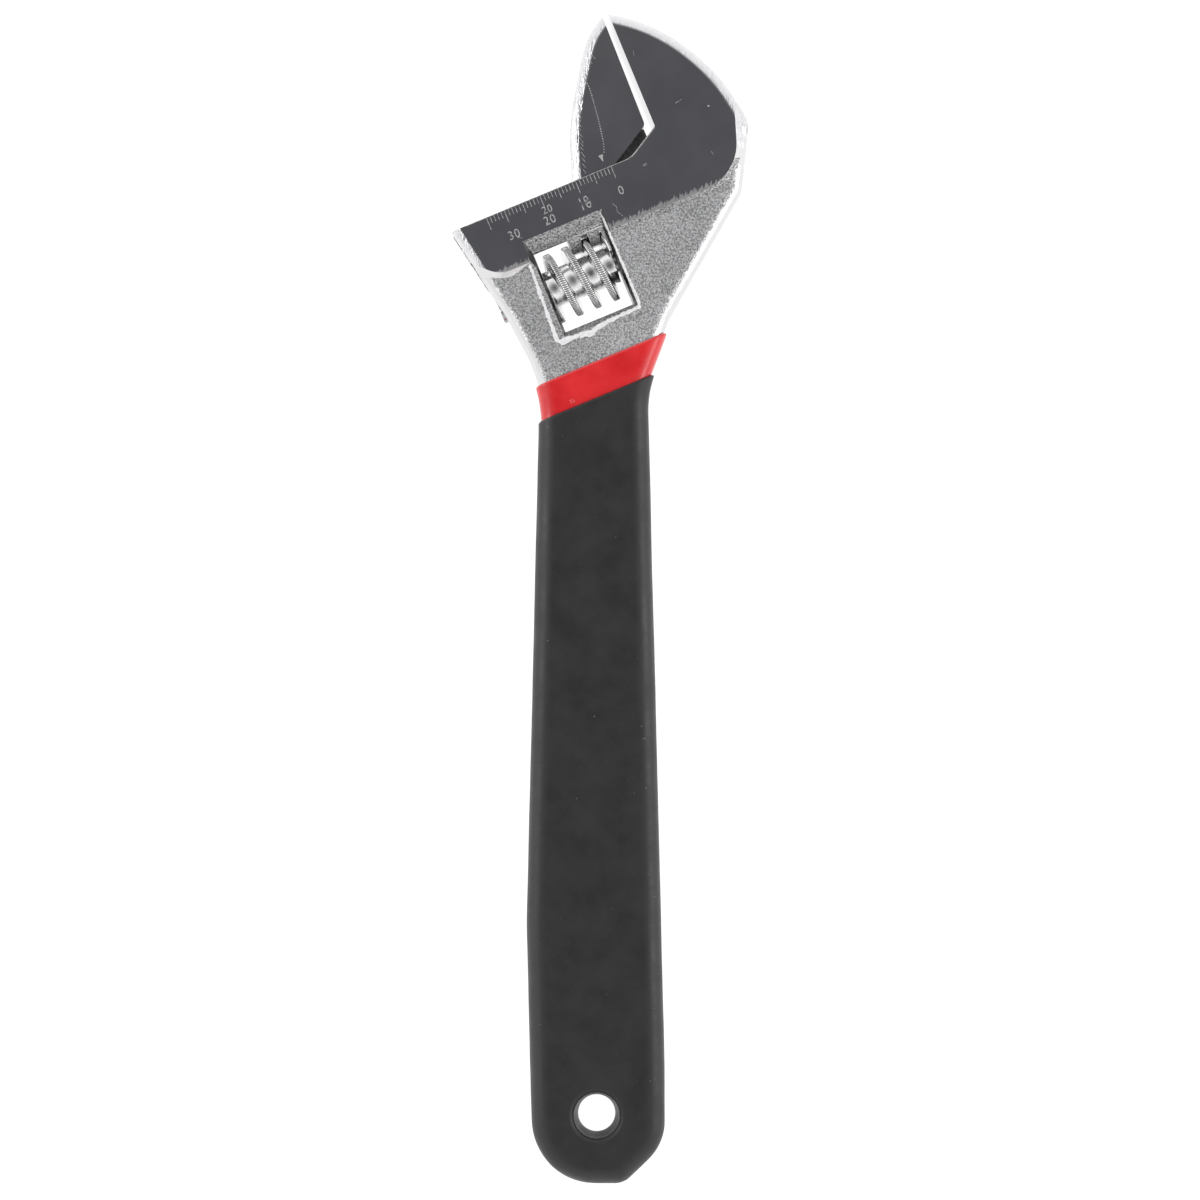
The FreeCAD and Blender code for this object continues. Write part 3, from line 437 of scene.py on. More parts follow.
def black_vinyl():
    """The black sleeve: satin dipped vinyl with a fine pebble and dust specks, darker by the hang hole."""
    look = Look("black_vinyl", (0.02, 0.02, 0.02), 0.45)
    specks = look.spread(look.noise(900.0, 2.0, 0.5), 0.0, 1.0, 0.74, 0.80)
    distance = look.nodes.new("ShaderNodeVectorMath")
    distance.operation = "LENGTH"
    look.links.new(look.coords, distance.inputs[0])
    away = look.spread(distance.outputs["Value"], 0.0, 1.0, HOLE_DARKENING_FROM * MM, HOLE_DARKENING_TO * MM)
    vinyl = look.mix(away, (0.012, 0.0115, 0.012), (0.020, 0.0195, 0.020))
    look.drive("Base Color", look.mix(specks, vinyl, (0.12, 0.12, 0.12)))
    look.drive("Roughness", look.spread(look.noise(130.0, 5.0), 0.38, 0.54))
    pebble = look.sum(look.noise(2400.0, 2.0), look.noise(420.0, 3.0))
    look.bump(pebble, 0.35, 0.00009)
    return look.material


def turned_steel(name, ring_axis):
    """Plain steel with fine turning rings across one axis."""
    look = Look(name, (0.45, 0.45, 0.46), 0.3, 1.0)
    turn = -math.atan2(ring_axis.y, ring_axis.x)
    rings = look.noise(1.0, 3.0, vector=look.stretched(turn, (6000.0, 300.0, 300.0)))
    look.drive("Roughness", look.spread(rings, 0.22, 0.4))
    look.bump(rings, 0.3, 0.00003)
    return look.material


def etched_mark():
    """The scale's etched lines and numbers: matt grey, a little worn. The same grey paints the glint along
    the slide's edge.
    """
    look = Look("etched_mark", (0.3, 0.3, 0.3), 0.6, 0.3)
    wear = look.spread(look.noise(3500.0, 3.0, 0.7), 0.0, 1.0, 0.36, 0.6)
    look.drive("Base Color", look.mix(wear, (0.16, 0.16, 0.165), (0.62, 0.62, 0.61)))
    return look.material


# ---------------------------------------------------------------- chromed CAD nodes


POLISHED, BLASTED, SIDES, BRUSHED, SHADED, SLOPED = range(6)
# Zones of the head's frame: u from, u to, v from, v to.
BELOW_SCALE = (-58, 20, -1000, -8)
WINDOW_MOUTH = (-46, -18.5, -39, -8)
WINDOW_INSIDE = (-43, -21, -36, -12)
GRIPPING_FACES = (-4, 1, 3, 1000)
THROAT_AND_SLIDE = (-1000, 1, -1, 6)
# The crown's rounded rim lies above the first v, and the web above the second.
RIM_ABOVE_V = -16
WEB_ABOVE_V = -9
# The step down to the cheeks lies above this v, and left of this u it is plated like the sides.
STEP_ABOVE_V = -19
STEP_PLAIN_U = -45


def finished(node, materials):
    """A CAD node's object, with these materials in place of its own."""
    thing = frame["nodes"][node]
    thing.data.materials.clear()
    for material in materials:
        thing.data.materials.append(material)
    return thing


def zone_faces(node, materials, level):
    """Finish each face of a chromed node by where it lies and how it slopes."""
    for face in finished(node, materials).data.polygons:
        face.material_index = finish_of(face, level)


def head_place(point):
    """A row-frame point's u and v, in millimetres."""
    local = point - HEAD
    return local.dot(U) / MM, local.dot(V) / MM


def inside(u, v, zone):
    """Whether a place lies in a zone of the head's frame."""
    u_from, u_to, v_from, v_to = zone
    return u_from < u < u_to and v_from < v < v_to


def finish_of(face, level):
    """One face's finish: polished on top, hairy over the rim, grainy on the cheeks, else side plating."""
    slope = abs(face.normal.z)
    height = abs(face.center.z)
    u, v = head_place(face.center)
    # Recessed faces take the shaded finish: plating painted dark as the shade that falls in them.
    if recessed(face, u, v):
        return SHADED
    if slope > 0.995 and height > level - 0.2 * MM or opening_face(face, u, v):
        return POLISHED
    if slope > 0.3 and inside(u, v, BELOW_SCALE):
        return lower_finish(face, u, v)
    if slope > 0.1 and height > ABOVE_WEB * MM and v > RIM_ABOVE_V:
        return BRUSHED
    return SIDES


def lower_finish(face, u, v):
    """The finish of a face below the scale: a cheek, the step, the window's mouth or a rounded edge."""
    slope = abs(face.normal.z)
    over_cheek = abs(face.center.z) > (CHEEK - 0.2) * MM
    step = face.normal.dot(V) < -0.45 and v > STEP_ABOVE_V and over_cheek
    if step and u < STEP_PLAIN_U:
        return SIDES
    # The step and the window's mouth take a darker copy of the cheeks' plating, painted shade on the
    # slopes.
    if step or slope < 0.98 and inside(u, v, WINDOW_MOUTH):
        return SLOPED
    return BLASTED if slope > 0.93 else SIDES


def recessed(face, u, v):
    """Whether a face is the web's, or an inner end wall of the knurl window."""
    web = abs(face.normal.z) > 0.9 and abs(face.center.z) < ABOVE_WEB * MM and v > WEB_ABOVE_V
    end_wall = abs(face.normal.dot(U)) > 0.9 and inside(u, v, WINDOW_INSIDE)
    return web or end_wall


def opening_face(face, u, v):
    """Whether a face belongs to the jaw opening: the gripping faces, the throat and the slide."""
    gripping = abs(face.normal.dot(U)) > 0.9 and inside(u, v, GRIPPING_FACES)
    throat = abs(face.normal.z) < 0.1 and inside(u, v, THROAT_AND_SLIDE)
    return gripping or throat


# ---------------------------------------------------------------- knurl

PITCH = 5.15
KNURL_LENGTH = 18.4
KNURL_RADIUS = 9.08
CORE_RADIUS = 5.0
BORE_RADIUS = 2.6
THREAD_START = -2.375
SERRATIONS = 96
# How deep each serration is cut at each of its steps, and which of its faces are notch.
SERRATION_STEPS = (0.0, 0.5, 1.0, 0.5)
NOTCH_STEPS = (1, 2)
SERRATION_DEPTH = 0.28
# The notches' faces painted dark as shade lie within this of the knurl's radius.
NOTCH_REACH = 0.5
# The thread's turns, counted from its start, that can touch the knurl's length.
THREAD_TURNS = range(-1, 6)
# The thread's section: offset along the axis, radius, and how much of the serrations it carries.
THREAD_SECTION = [
    (-1.50, CORE_RADIUS, 0.0),
    (-1.30, CORE_RADIUS + 0.10, 0.0),
    (-1.16, CORE_RADIUS + 0.45, 0.0),
    (-1.04, CORE_RADIUS + 1.80, 0.0),
    (-0.94, KNURL_RADIUS - 0.62, 0.0),
    (-0.84, KNURL_RADIUS - 0.24, 0.6),
    (-0.68, KNURL_RADIUS, 1.0),
    (0.0, KNURL_RADIUS + 0.02, 1.0),
    (0.68, KNURL_RADIUS, 1.0),
    (0.84, KNURL_RADIUS - 0.24, 0.6),
    (0.94, KNURL_RADIUS - 0.62, 0.0),
    (1.04, CORE_RADIUS + 1.80, 0.0),
    (1.16, CORE_RADIUS + 0.45, 0.0),
    (1.30, CORE_RADIUS + 0.10, 0.0),
    (1.50, CORE_RADIUS, 0.0),
]


def thread_radius(offset, notch):
    """The thread's radius at an axial offset from its middle."""
    if abs(offset) >= THREAD_SECTION[-1][0]:
        return CORE_RADIUS
    for (a, low, low_share), (b, high, high_share) in zip(THREAD_SECTION, THREAD_SECTION[1:]):
        if a <= offset <= b:
            part = (offset - a) / (b - a)
            share = low_share + (high_share - low_share) * part
            return low + (high - low) * part - SERRATION_DEPTH * notch * share


def knurl_ring(step, steps):
    """One lengthwise profile of the knurl at one angle, from end to end, clipped by the end planes."""
    angle = 2 * math.pi * step / steps
    notch = SERRATION_STEPS[step % len(SERRATION_STEPS)]
    out = V * math.cos(angle) + Z * math.sin(angle)
    start = head(KNURL_U - KNURL_LENGTH / 2, KNURL_V)
    points = []
    for turn in THREAD_TURNS:
        middle = THREAD_START + PITCH * (angle / (2 * math.pi) + turn)
        for offset, _, _ in THREAD_SECTION:
            along = min(max(middle + offset, 0.0), KNURL_LENGTH)
            radius = thread_radius(along - middle, notch)
            points.append(start + (U * along + out * radius) * MM)
    first = start + out * BORE_RADIUS * MM
    last = start + (U * KNURL_LENGTH + out * BORE_RADIUS) * MM
    return [first] + points + [last]


def knurl(material, notch_shade_material):
    """The knurl with its serrated thread, in place of the plain one."""
    steps = SERRATIONS * len(SERRATION_STEPS)
    vertices = []
    for step in range(steps + 1):
        vertices += knurl_ring(step, steps)
    count = len(vertices) // (steps + 1)
    faces = []
    for step in range(steps):
        for i in range(count - 1):
            a = step * count + i
            faces.append((a, a + 1, a + count + 1, a + count))
    # The bore, from end to end.
    for step in range(steps):
        a = step * count
        faces.append((a, a + count, a + 2 * count - 1, a + count - 1))
    piece = mesh_object("serrated_knurl", vertices, faces, material, "knurl")
    piece.data.materials.append(notch_shade_material)
    for face in piece.data.polygons:
        out = face.center - head(KNURL_U, KNURL_V)
        angle = math.atan2(out.dot(Z), out.dot(V)) % (2 * math.pi)
        step = int(angle / (2 * math.pi) * steps) % len(SERRATION_STEPS)
        radius = (out - U * out.dot(U)).length
        # Notch faces near the crest take the second material, painted dark as shade.
        if radius > (KNURL_RADIUS - NOTCH_REACH) * MM and step in NOTCH_STEPS:
            face.material_index = 1
    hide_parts("adjusting_knurl")


# ---------------------------------------------------------------- grip

HOLE_RIM_RADIUS = 5.9
# The hang hole's flared bore: distance from mid-thickness, radius.
HOLE_BORE = [(3.4, 5.5), (2.0, 5.15), (1.0, 4.95), (0.0, 4.85)]
# The hole is cut from a square patch of the sleeve with this half size, filled with rings round the rim.
HOLE_PATCH = 8.8
PATCH_ROWS = 22
PATCH_RINGS = (0.12, 0.25, 0.38, 0.5, 0.6, 0.7, 0.78, 0.85, 0.9, 0.94, 0.97, 0.99, 1.0)
# The dish that the coat forms round the hole, and the roll at its rim.
DISH_DEPTH = 0.7
DISH_WIDTH = 6.0
RIM_ROLL = 1.2
# Points of a section along one face, and over one side.
COLUMNS = 36
ARC = 16
# Half length of the middle line that a section's points move away from.
SPINE_HALF = 11.0
# A coat is drawn in by this share of its unevenness, so that it stays inside its CAD solid.
DRAWN_IN = 1.1
GRIP_END_Y = cad_box[0].y / MM
END_INSET = 0.02
END_LENGTH = 12.0
END_ROWS = 16
HANDLE_START_Y = 9.6
HANDLE_ROWS = 110
# How far below the sleeve's edge its even sections stop, and where its last one before the roll is.
HANDLE_STOP = 2.4
HANDLE_LAST = 1.1
# Where the sections start to turn from square to the slide's slant, and over what length.
TURN_FROM_Y = 60.0
TURN_LENGTH = 90.0
SLEEVE_EDGE_V = -54.0
SLEEVE_ROLL = 0.75
SLEEVE_UNEVENNESS = 0.09
UNDERCOAT_EDGE_V = -45.2
UNDERCOAT_ROLL = 0.8
UNDERCOAT_UNEVENNESS = 0.05
UNDERCOAT_ROWS = 24
UNDERCOAT_STOP = 1.0
# How far the undercoat reaches under the sleeve.
OVERLAP = 3.0
ROLL_ROWS = 6


def surface_tree(node, unit=1.0):
    """A CAD node's surface for ray casts, in this many metres to the unit."""
    mesh = frame["nodes"][node].data
    return BVHTree.FromPolygons(
        [vertex.co / unit for vertex in mesh.vertices],
        [tuple(face.vertices) for face in mesh.polygons],
    )


class Skin:
    """The outer surface of a coat's CAD solid, in millimetres."""

    def __init__(self, node):
        self.tree = surface_tree(node, MM)
        self.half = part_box(node)[1].z / MM

    def reach(self, origin, direction, far=60.0):
        """Where the coat's outer surface lies from a point inside it, or None over a hole."""
        return self.tree.ray_cast(origin + direction * far, -direction, far)[0]


def section(skin, middle, along):
    """A coat's middle and its points around the handle, in the upright plane through a line."""
    left = skin.reach(middle, -along)
    right = skin.reach(middle, along)
    inset = min(skin.half, (right - left).length * 0.49)
    a = left + along * inset
    b = right - along * inset
    points = []
    for first, last, side in ((a, b, 1), (b, a, -1)):
        for i in range(COLUMNS + 1):
            spot = first + (last - first) * (i / COLUMNS)
            points.append(skin.reach(spot, Z * side) or spot + Z * side * skin.half)
        for i in range(1, ARC):
            turn = side * math.pi / 2 - math.pi * i / ARC
            points.append(skin.reach(last, along * math.cos(turn) + Z * math.sin(turn)))
    centre = (a + b) / 2
    return centre, [point or centre for point in points]


def station_line(y):
    """A section's middle and direction: square to the handle low down, slanted by the head."""
    part = min(max((y - TURN_FROM_Y) / TURN_LENGTH, 0.0), 1.0)
    turn = ACROSS * part * part * (3 - 2 * part)
    return Vector((0.0, y, 0.0)), Vector((math.cos(turn), math.sin(turn), 0.0))


def edge_y(v):
    """Where the handle's middle line meets a line of the head's frame parallel to the slide."""
    return (HEAD.y / MM) + v * V.y - (V.x * v + HEAD.x / MM) * U.y / U.x


def swell(point, height):
    """A coat's slow unevenness at a point, outward from the handle."""
    slow = noise.noise(point * 0.045) + 0.4 * noise.noise(point * 0.16)
    return height * (slow - DRAWN_IN)


def hollow(point):
    """How far the coat sinks around the hang hole: a shallow dish, then a rolled rim."""
    past = max(math.hypot(point.x, point.y) - HOLE_RIM_RADIUS, 0.0)
    dish = DISH_DEPTH * max(0.0, 1 - past / DISH_WIDTH) ** 2
    if past < RIM_ROLL:
        dish += RIM_ROLL - math.sqrt(RIM_ROLL * RIM_ROLL - (RIM_ROLL - past) ** 2)
    return dish


def coat_row(skin, y, edge, roll, unevenness, pierced):
    """One closed row of a coat's points, drawn in where the upper edge rolls over."""
    middle, along = station_line(y)
    centre, ring = section(skin, middle, along)
    over = max(0.0, 1 - (edge - y) / roll)
    shrink = roll * (1 - math.sqrt(max(0.0, 1 - over * over)))
    spine = Vector((centre.x, centre.y, 0))
    row = []
    for point in ring:
        nearest = spine + along * max(min((point - spine).dot(along), SPINE_HALF), -SPINE_HALF)
        out = (point - nearest).normalized()
        place = point + out * (swell(point, unevenness) - shrink)
        if pierced:
            place.z -= math.copysign(hollow(place), place.z)
        row.append(place)
    return row


def hole_patch(rows, ys):
    """The sleeve's patch for the hang hole: first and last row, and first and last column of each face."""
    cut = [i for i, y in enumerate(ys) if abs(y) <= HOLE_PATCH]
    middle = rows[(cut[0] + cut[-1]) // 2]
    columns = []
    for start in (0, COLUMNS + ARC):
        picks = [j for j in range(start, start + COLUMNS + 1) if abs(middle[j].x) <= HOLE_PATCH]
        columns.append((picks[0], picks[-1]))
    return cut[0], cut[-1], columns


def patch_loop(first, last, low, high, count):
    """The points round a patch of a coat's rows, which have this many points each."""
    loop = [(first, j) for j in range(low, high)]
    loop += [(i, high) for i in range(first, last)]
    loop += [(last, j) for j in range(high, low, -1)]
    loop += [(i, low) for i in range(last, first, -1)]
    return [i * count + j for i, j in loop]


def coat(name, skin, ys, edge, roll, unevenness, pierced, material):
    """A dipped coat as one closed skin with a rolled upper edge, pierced if it is the sleeve."""
    rows = [coat_row(skin, y, edge, roll, unevenness, pierced) for y in ys]
    count = len(rows[0])
    vertices = [point for row in rows for point in row]
    first, last, columns = hole_patch(rows, ys) if pierced else (0, 0, [])
    faces = []
    for i in range(len(rows) - 1):
        for j in range(count):
            if first <= i < last and any(low <= j < high for low, high in columns):
                continue
            k = (j + 1) % count
            faces.append((i * count + j, i * count + k, (i + 1) * count + k, (i + 1) * count + j))
    for i in (0, len(rows) - 1):
        vertices.append(sum(rows[i], Vector()) / count)
        for j in range(count):
            faces.append((i * count + j, i * count + (j + 1) % count, len(vertices) - 1))
    for side, (low, high) in zip((1, -1), columns):
        pierce(vertices, faces, patch_loop(first, last, low, high, count), side, skin, unevenness)
    return mesh_object(name, [vertex * MM for vertex in vertices], faces, material, "root")


def face_height(skin, spot, side, unevenness):
    """Height of one of the coat's faces over a place by the hang hole."""
    hit = skin.reach(Vector((spot.x, spot.y, 0)), Z * side)
    return abs(hit.z) + swell(hit, unevenness) - hollow(spot)


def pierce(vertices, faces, loop, side, skin, unevenness):
    """Rings from a loop on one face of the sleeve to the hang hole's rim and down to mid-thickness."""
    previous = list(loop)
    starts = [vertices[i].copy() for i in loop]
    for share in PATCH_RINGS:
        current = []
        for start in starts:
            flat = Vector((start.x, start.y, 0))
            spot = flat.lerp(flat.normalized() * HOLE_RIM_RADIUS, share)
            spot.z = side * face_height(skin, spot, side, unevenness)
            vertices.append(spot)
            current.append(len(vertices) - 1)
        stitch(faces, previous, current)
        previous = current
    for level, radius in HOLE_BORE:
        current = []
        for i in previous:
            spot = Vector((vertices[i].x, vertices[i].y, 0)).normalized() * radius
            vertices.append(Vector((spot.x, spot.y, side * level)))
            current.append(len(vertices) - 1)
        stitch(faces, previous, current)
        previous = current


def stitch(faces, first, second):
    """Quads between two loops of the same length."""
    count = len(first)
    for i in range(count):
        k = (i + 1) % count
        faces.append((first[i], first[k], second[k], second[i]))


def evenly(start, end, rows):
    """Section places at even distances, both ends included."""
    return [start + (end - start) * i / rows for i in range(rows + 1)]


def round_end():
    """Section places over the handle's end, closer together towards its tip."""
    tip = GRIP_END_Y + END_INSET
    ys = [tip + END_LENGTH * (1 - math.cos(turn)) for turn in evenly(0.0, math.pi / 2, END_ROWS)]
    return [y for y in ys if y < -HOLE_PATCH - 0.1]


def rolled_edge(edge, roll):
    """Section places over a rolled edge, closer together towards its tip."""
    return [edge - roll * (1 - math.sin(turn)) for turn in evenly(0.0, math.pi / 2, ROLL_ROWS)]


def grip(red, black):
    """The red undercoat and the black sleeve."""
    top = edge_y(SLEEVE_EDGE_V)
    ys = round_end() + evenly(-HOLE_PATCH, HOLE_PATCH, PATCH_ROWS)
    ys += evenly(HANDLE_START_Y, top - HANDLE_STOP, HANDLE_ROWS) + [top - HANDLE_LAST]
    ys += rolled_edge(top, SLEEVE_ROLL)
    sleeve = coat(
        "black_sleeve_skin", Skin("black_grip_sleeve"), ys, top, SLEEVE_ROLL, SLEEVE_UNEVENNESS, True,
        black,
    )
    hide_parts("black_grip_sleeve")
    under = edge_y(UNDERCOAT_EDGE_V)
    ys = evenly(top - OVERLAP, under - UNDERCOAT_STOP, UNDERCOAT_ROWS)
    ys += rolled_edge(under, UNDERCOAT_ROLL)
    undercoat = coat(
        "red_undercoat_skin", Skin("red_grip_undercoat"), ys, under, UNDERCOAT_ROLL, UNDERCOAT_UNEVENNESS,
        False, red,
    )
    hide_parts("red_grip_undercoat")


BUBBLE_PLACE = (-6.3, 186.0)
BUBBLE_RADIUS = 0.85
BUBBLE_HEIGHT = 0.3
BUBBLE_SINK = 0.12
BUBBLE_RINGS = 6
BUBBLE_SIDES = 28


def dip_bubble(material):
    """A bubble that stayed in the red dip: a small raised ring with a dimple in it."""
    skin = Skin("red_grip_undercoat")
    centre = Vector((*BUBBLE_PLACE, 0))
    vertices = []
    for ring in range(1, BUBBLE_RINGS + 1):
        share = ring / BUBBLE_RINGS
        for side in range(BUBBLE_SIDES):
            turn = 2 * math.pi * side / BUBBLE_SIDES
            spot = centre + Vector((math.cos(turn), math.sin(turn), 0)) * BUBBLE_RADIUS * share
            rise = BUBBLE_HEIGHT * math.sin(math.pi * share) ** 1.5
            vertices.append(Vector((spot.x, spot.y, skin.reach(spot, Z).z - BUBBLE_SINK + rise)))
    faces = []
    for ring in range(BUBBLE_RINGS - 1):
        first = [ring * BUBBLE_SIDES + side for side in range(BUBBLE_SIDES)]
        stitch(faces, first, [i + BUBBLE_SIDES for i in first])
    faces.append(tuple(range(BUBBLE_SIDES)))
    last = (BUBBLE_RINGS - 1) * BUBBLE_SIDES
    faces.append(tuple(last + BUBBLE_SIDES - 1 - side for side in range(BUBBLE_SIDES)))
    vertices = [vertex * MM for vertex in vertices]
    mesh_object("dip_bubble", vertices, faces, material, "root")


# ---------------------------------------------------------------- scale and marks

MARK_HEIGHT = 0.02
SCALE_ZERO_U = -14.5
SCALE_MM = 35
TICK_TOP_V = -0.25
TICK_WIDTH = 0.16
TICK_WOBBLE = 0.12
DIGIT_V = -6.95
DIGIT_SIZE = 3.3
DIGIT_NARROWING = 0.9
# The second strikes: number, distance from the scale's zero, lift and share of the full size.
SECOND_STRIKES = (("20", 19.6, 2.75, 0.86), ("10", 10.1, 1.1, 0.95))
ARROW_TIP = (-15.9, 1.7)
ARROW_BACK_V = 3.6
ARROW_HALF = 0.62
ARC_ROUTE = [
    (-14.8, 3.8), (-13.9, 6.5), (-12.9, 12.3), (-12.4, 16.0), (-11.9, 20.5), (-12.1, 23.3),
]
ARC_PITCH = 0.62
ARC_DASH = 0.3
ARC_WIDTH = 0.28
# Nicks and grinding strokes stand less proud than the marks.
STROKE_HEIGHT = 0.012
# The plateau's nicks: start, end, width.
NICKS = [
    ((-6.7, -3.2), (-5.8, -3.0), 0.35), ((-6.3, -2.8), (-6.0, -3.3), 0.3),
    ((14.6, 4.7), (15.1, 4.6), 0.3), ((-17.9, -9.2), (-17.2, -10.3), 0.1),
    ((-17.2, -10.3), (-17.5, -11.7), 0.1), ((-17.5, -11.7), (-16.6, -13.2), 0.1),
    ((7.2, 8.6), (9.0, 8.9), 0.09), ((2.0, 24.0), (2.3, 25.4), 0.08),
    ((-44.0, -8.0), (-42.8, -8.5), 0.09), ((11.0, -6.4), (11.2, -7.6), 0.08),
]
# The movable jaw's back, where short grinding strokes run off it.
JAW_BACK = [
    (-21.9, 1.6), (-20.6, 6.0), (-18.9, 12.2), (-16.7, 18.2), (-13.8, 23.0), (-10.8, 26.5), (-7.2, 29.2),
]
STROKE_PITCH = 1.25
STROKE_WIDTH = 0.11
STROKE_LENGTH = 1.3
STROKE_SPREAD = 1.2
STROKE_INSET = (0.35, 0.3)
STROKE_LEAN = 0.4


def slab_faces(start):
    """The six faces of a box whose eight corners start at an index, lower four first."""
    ring = [(0, 1, 2, 3), (7, 6, 5, 4), (0, 4, 5, 1), (1, 5, 6, 2), (2, 6, 7, 3), (3, 7, 4, 0)]
    return [tuple(start + corner for corner in face) for face in ring]


def strip(vertices, faces, ends, width, level, proud=MARK_HEIGHT):
    """Add a thin raised strip between two head-frame places."""
    (u0, v0), (u1, v1) = ends
    length = math.hypot(u1 - u0, v1 - v0)
    across = Vector((-(v1 - v0), u1 - u0)) * (width / 2 / length)
    corners = [
        (u0 - across.x, v0 - across.y), (u1 - across.x, v1 - across.y),
        (u1 + across.x, v1 + across.y), (u0 + across.x, v0 + across.y),
    ]
    start = len(vertices)
    for z in (level - proud, level + proud):
        vertices += [head(u, v, z) for u, v in corners]
    faces += slab_faces(start)


def tick_foot(n):
    """Where one of the scale's marks ends: lowest at every 10 and at the last, lower at every 5."""
    if n % 10 == 0 or n == SCALE_MM:
        return -3.4
    return -2.9 if n % 5 == 0 else -1.9


def between(start, end, part):
    """A head-frame place at a share of the way between two others."""
    (u0, v0), (u1, v1) = start, end
    return u0 + (u1 - u0) * part, v0 + (v1 - v0) * part


def scale_ticks(material):
    """The millimetre scale along the slide: longer marks at every 5 and 10."""
    vertices = []
    faces = []
    for n in range(SCALE_MM + 1):
        u = SCALE_ZERO_U - n
        wobble = TICK_WOBBLE * noise.noise(Vector((n * 3.7, 0.5, 0.0)))
        strip(vertices, faces, ((u, TICK_TOP_V), (u, tick_foot(n) + wobble)), TICK_WIDTH, FACE)
    mesh_object("scale_ticks", vertices, faces, material, "root", smooth=False)


def number(text, u, v, size, material, name):
    """A generic number of the scale, as thin raised lettering read from the handle's side."""
    curve = bpy.data.curves.new(name, "FONT")
    curve.body = text
    curve.size = size * MM
    curve.align_x = "CENTER"
    curve.align_y = "CENTER"
    curve.extrude = MARK_HEIGHT * MM
    curve.space_character = 1.15
    curve.resolution_u = 4
    thing = bpy.data.objects.new(name + "_curve", curve)
    bpy.context.scene.collection.objects.link(thing)
    mesh = bpy.data.meshes.new_from_object(thing)
    bpy.data.objects.remove(thing)
    place = head(u, v, FACE)
    mesh.transform(Matrix((
        (U.x * DIGIT_NARROWING, V.x, 0, place.x),
        (U.y * DIGIT_NARROWING, V.y, 0, place.y),
        (0, 0, 1, place.z),
        (0, 0, 0, 1),
    )))
    mesh.materials.clear()
    finish_object(name, mesh, material, "root", smooth=False)


def scale_numbers(material):
    """0, 10, 20 and 30, with the smaller second strike of two of them."""
    for value in (0, 10, 20, 30):
        name = "scale_number_%02d" % value
        number(str(value), SCALE_ZERO_U - value, DIGIT_V, DIGIT_SIZE, material, name)
    for text, distance, lift, share in SECOND_STRIKES:
        u = SCALE_ZERO_U - distance
        number(text, u, DIGIT_V + lift, DIGIT_SIZE * share, material, "second_strike_" + text)


def index_arrow(material, level):
    """The movable jaw's index arrow, which points at the scale."""
    u, v = ARROW_TIP
    vertices = []
    for z in (level - MARK_HEIGHT, level + MARK_HEIGHT):
        back = [head(u + ARROW_HALF, ARROW_BACK_V, z), head(u - ARROW_HALF, ARROW_BACK_V, z)]
        vertices += [head(u, v, z)] + back
    faces = [(0, 1, 2), (5, 4, 3), (0, 3, 4, 1), (1, 4, 5, 2), (2, 5, 3, 0)]
    mesh_object("index_arrow", vertices, faces, material, "jaw", smooth=False)


def dotted_arc(material, level):
    """The fine dotted arc above the index arrow."""
    vertices = []
    faces = []
    for start, end in zip(ARC_ROUTE, ARC_ROUTE[1:]):
        length = math.dist(start, end)
        dashes = int(length / ARC_PITCH)
        for i in range(dashes):
            ends = (between(start, end, i / dashes), between(start, end, i / dashes + ARC_DASH / length))
            strip(vertices, faces, ends, ARC_WIDTH, level)
    mesh_object("dotted_arc", vertices, faces, material, "jaw", smooth=False)


def plateau_nicks(material):
    """Small nicks that catch the light on the plateau."""
    vertices = []
    faces = []
    for start, end, width in NICKS:
        strip(vertices, faces, (start, end), width, FACE, STROKE_HEIGHT)
    mesh_object("plateau_nicks", vertices, faces, material, "root", smooth=False)


def jaw_strokes(material, level):
    """Short grinding strokes that run off the movable jaw's back."""
    vertices = []
    faces = []
    for start, end in zip(JAW_BACK, JAW_BACK[1:]):
        strokes = int(math.dist(start, end) / STROKE_PITCH)
        for i in range(strokes):
            u, v = between(start, end, i / strokes)
            length = STROKE_LENGTH + STROKE_SPREAD * noise.noise(Vector((u * 2.3, v * 2.3, 0.0)))
            u += STROKE_INSET[0]
            v += STROKE_INSET[1]
            ends = ((u, v), (u + STROKE_LEAN, v - length))
            strip(vertices, faces, ends, STROKE_WIDTH, level, STROKE_HEIGHT)
    mesh_object("jaw_grind_strokes", vertices, faces, material, "jaw", smooth=False)


# Places of the painted glint along the slide's upper edge and up the throat's slope, with the glint's
# width there.
SLIDE_GLINT = [
    (-55.5, 0.0, 0.16), (-10.61, 0.0, 0.16), (-9.57, 0.09, 0.2), (-8.56, 0.36, 0.24),
    (-7.61, 0.8, 0.28), (-0.2, 5.08, 0.3),
]


def slide_edge(material):
    """A painted glint: a bright strip along the slide's edge and up the throat's slope."""
    vertices = []
    faces = []
    for (u0, v0, _), (u1, v1, width) in zip(SLIDE_GLINT, SLIDE_GLINT[1:]):
        drop = width / 2 * math.hypot(u1 - u0, v1 - v0) / (u1 - u0)
        strip(vertices, faces, ((u0, v0 - drop), (u1, v1 - drop)), width, FACE)
    mesh_object("slide_edge", vertices, faces, material, "root", smooth=False)


# ---------------------------------------------------------------- the window's raised lip

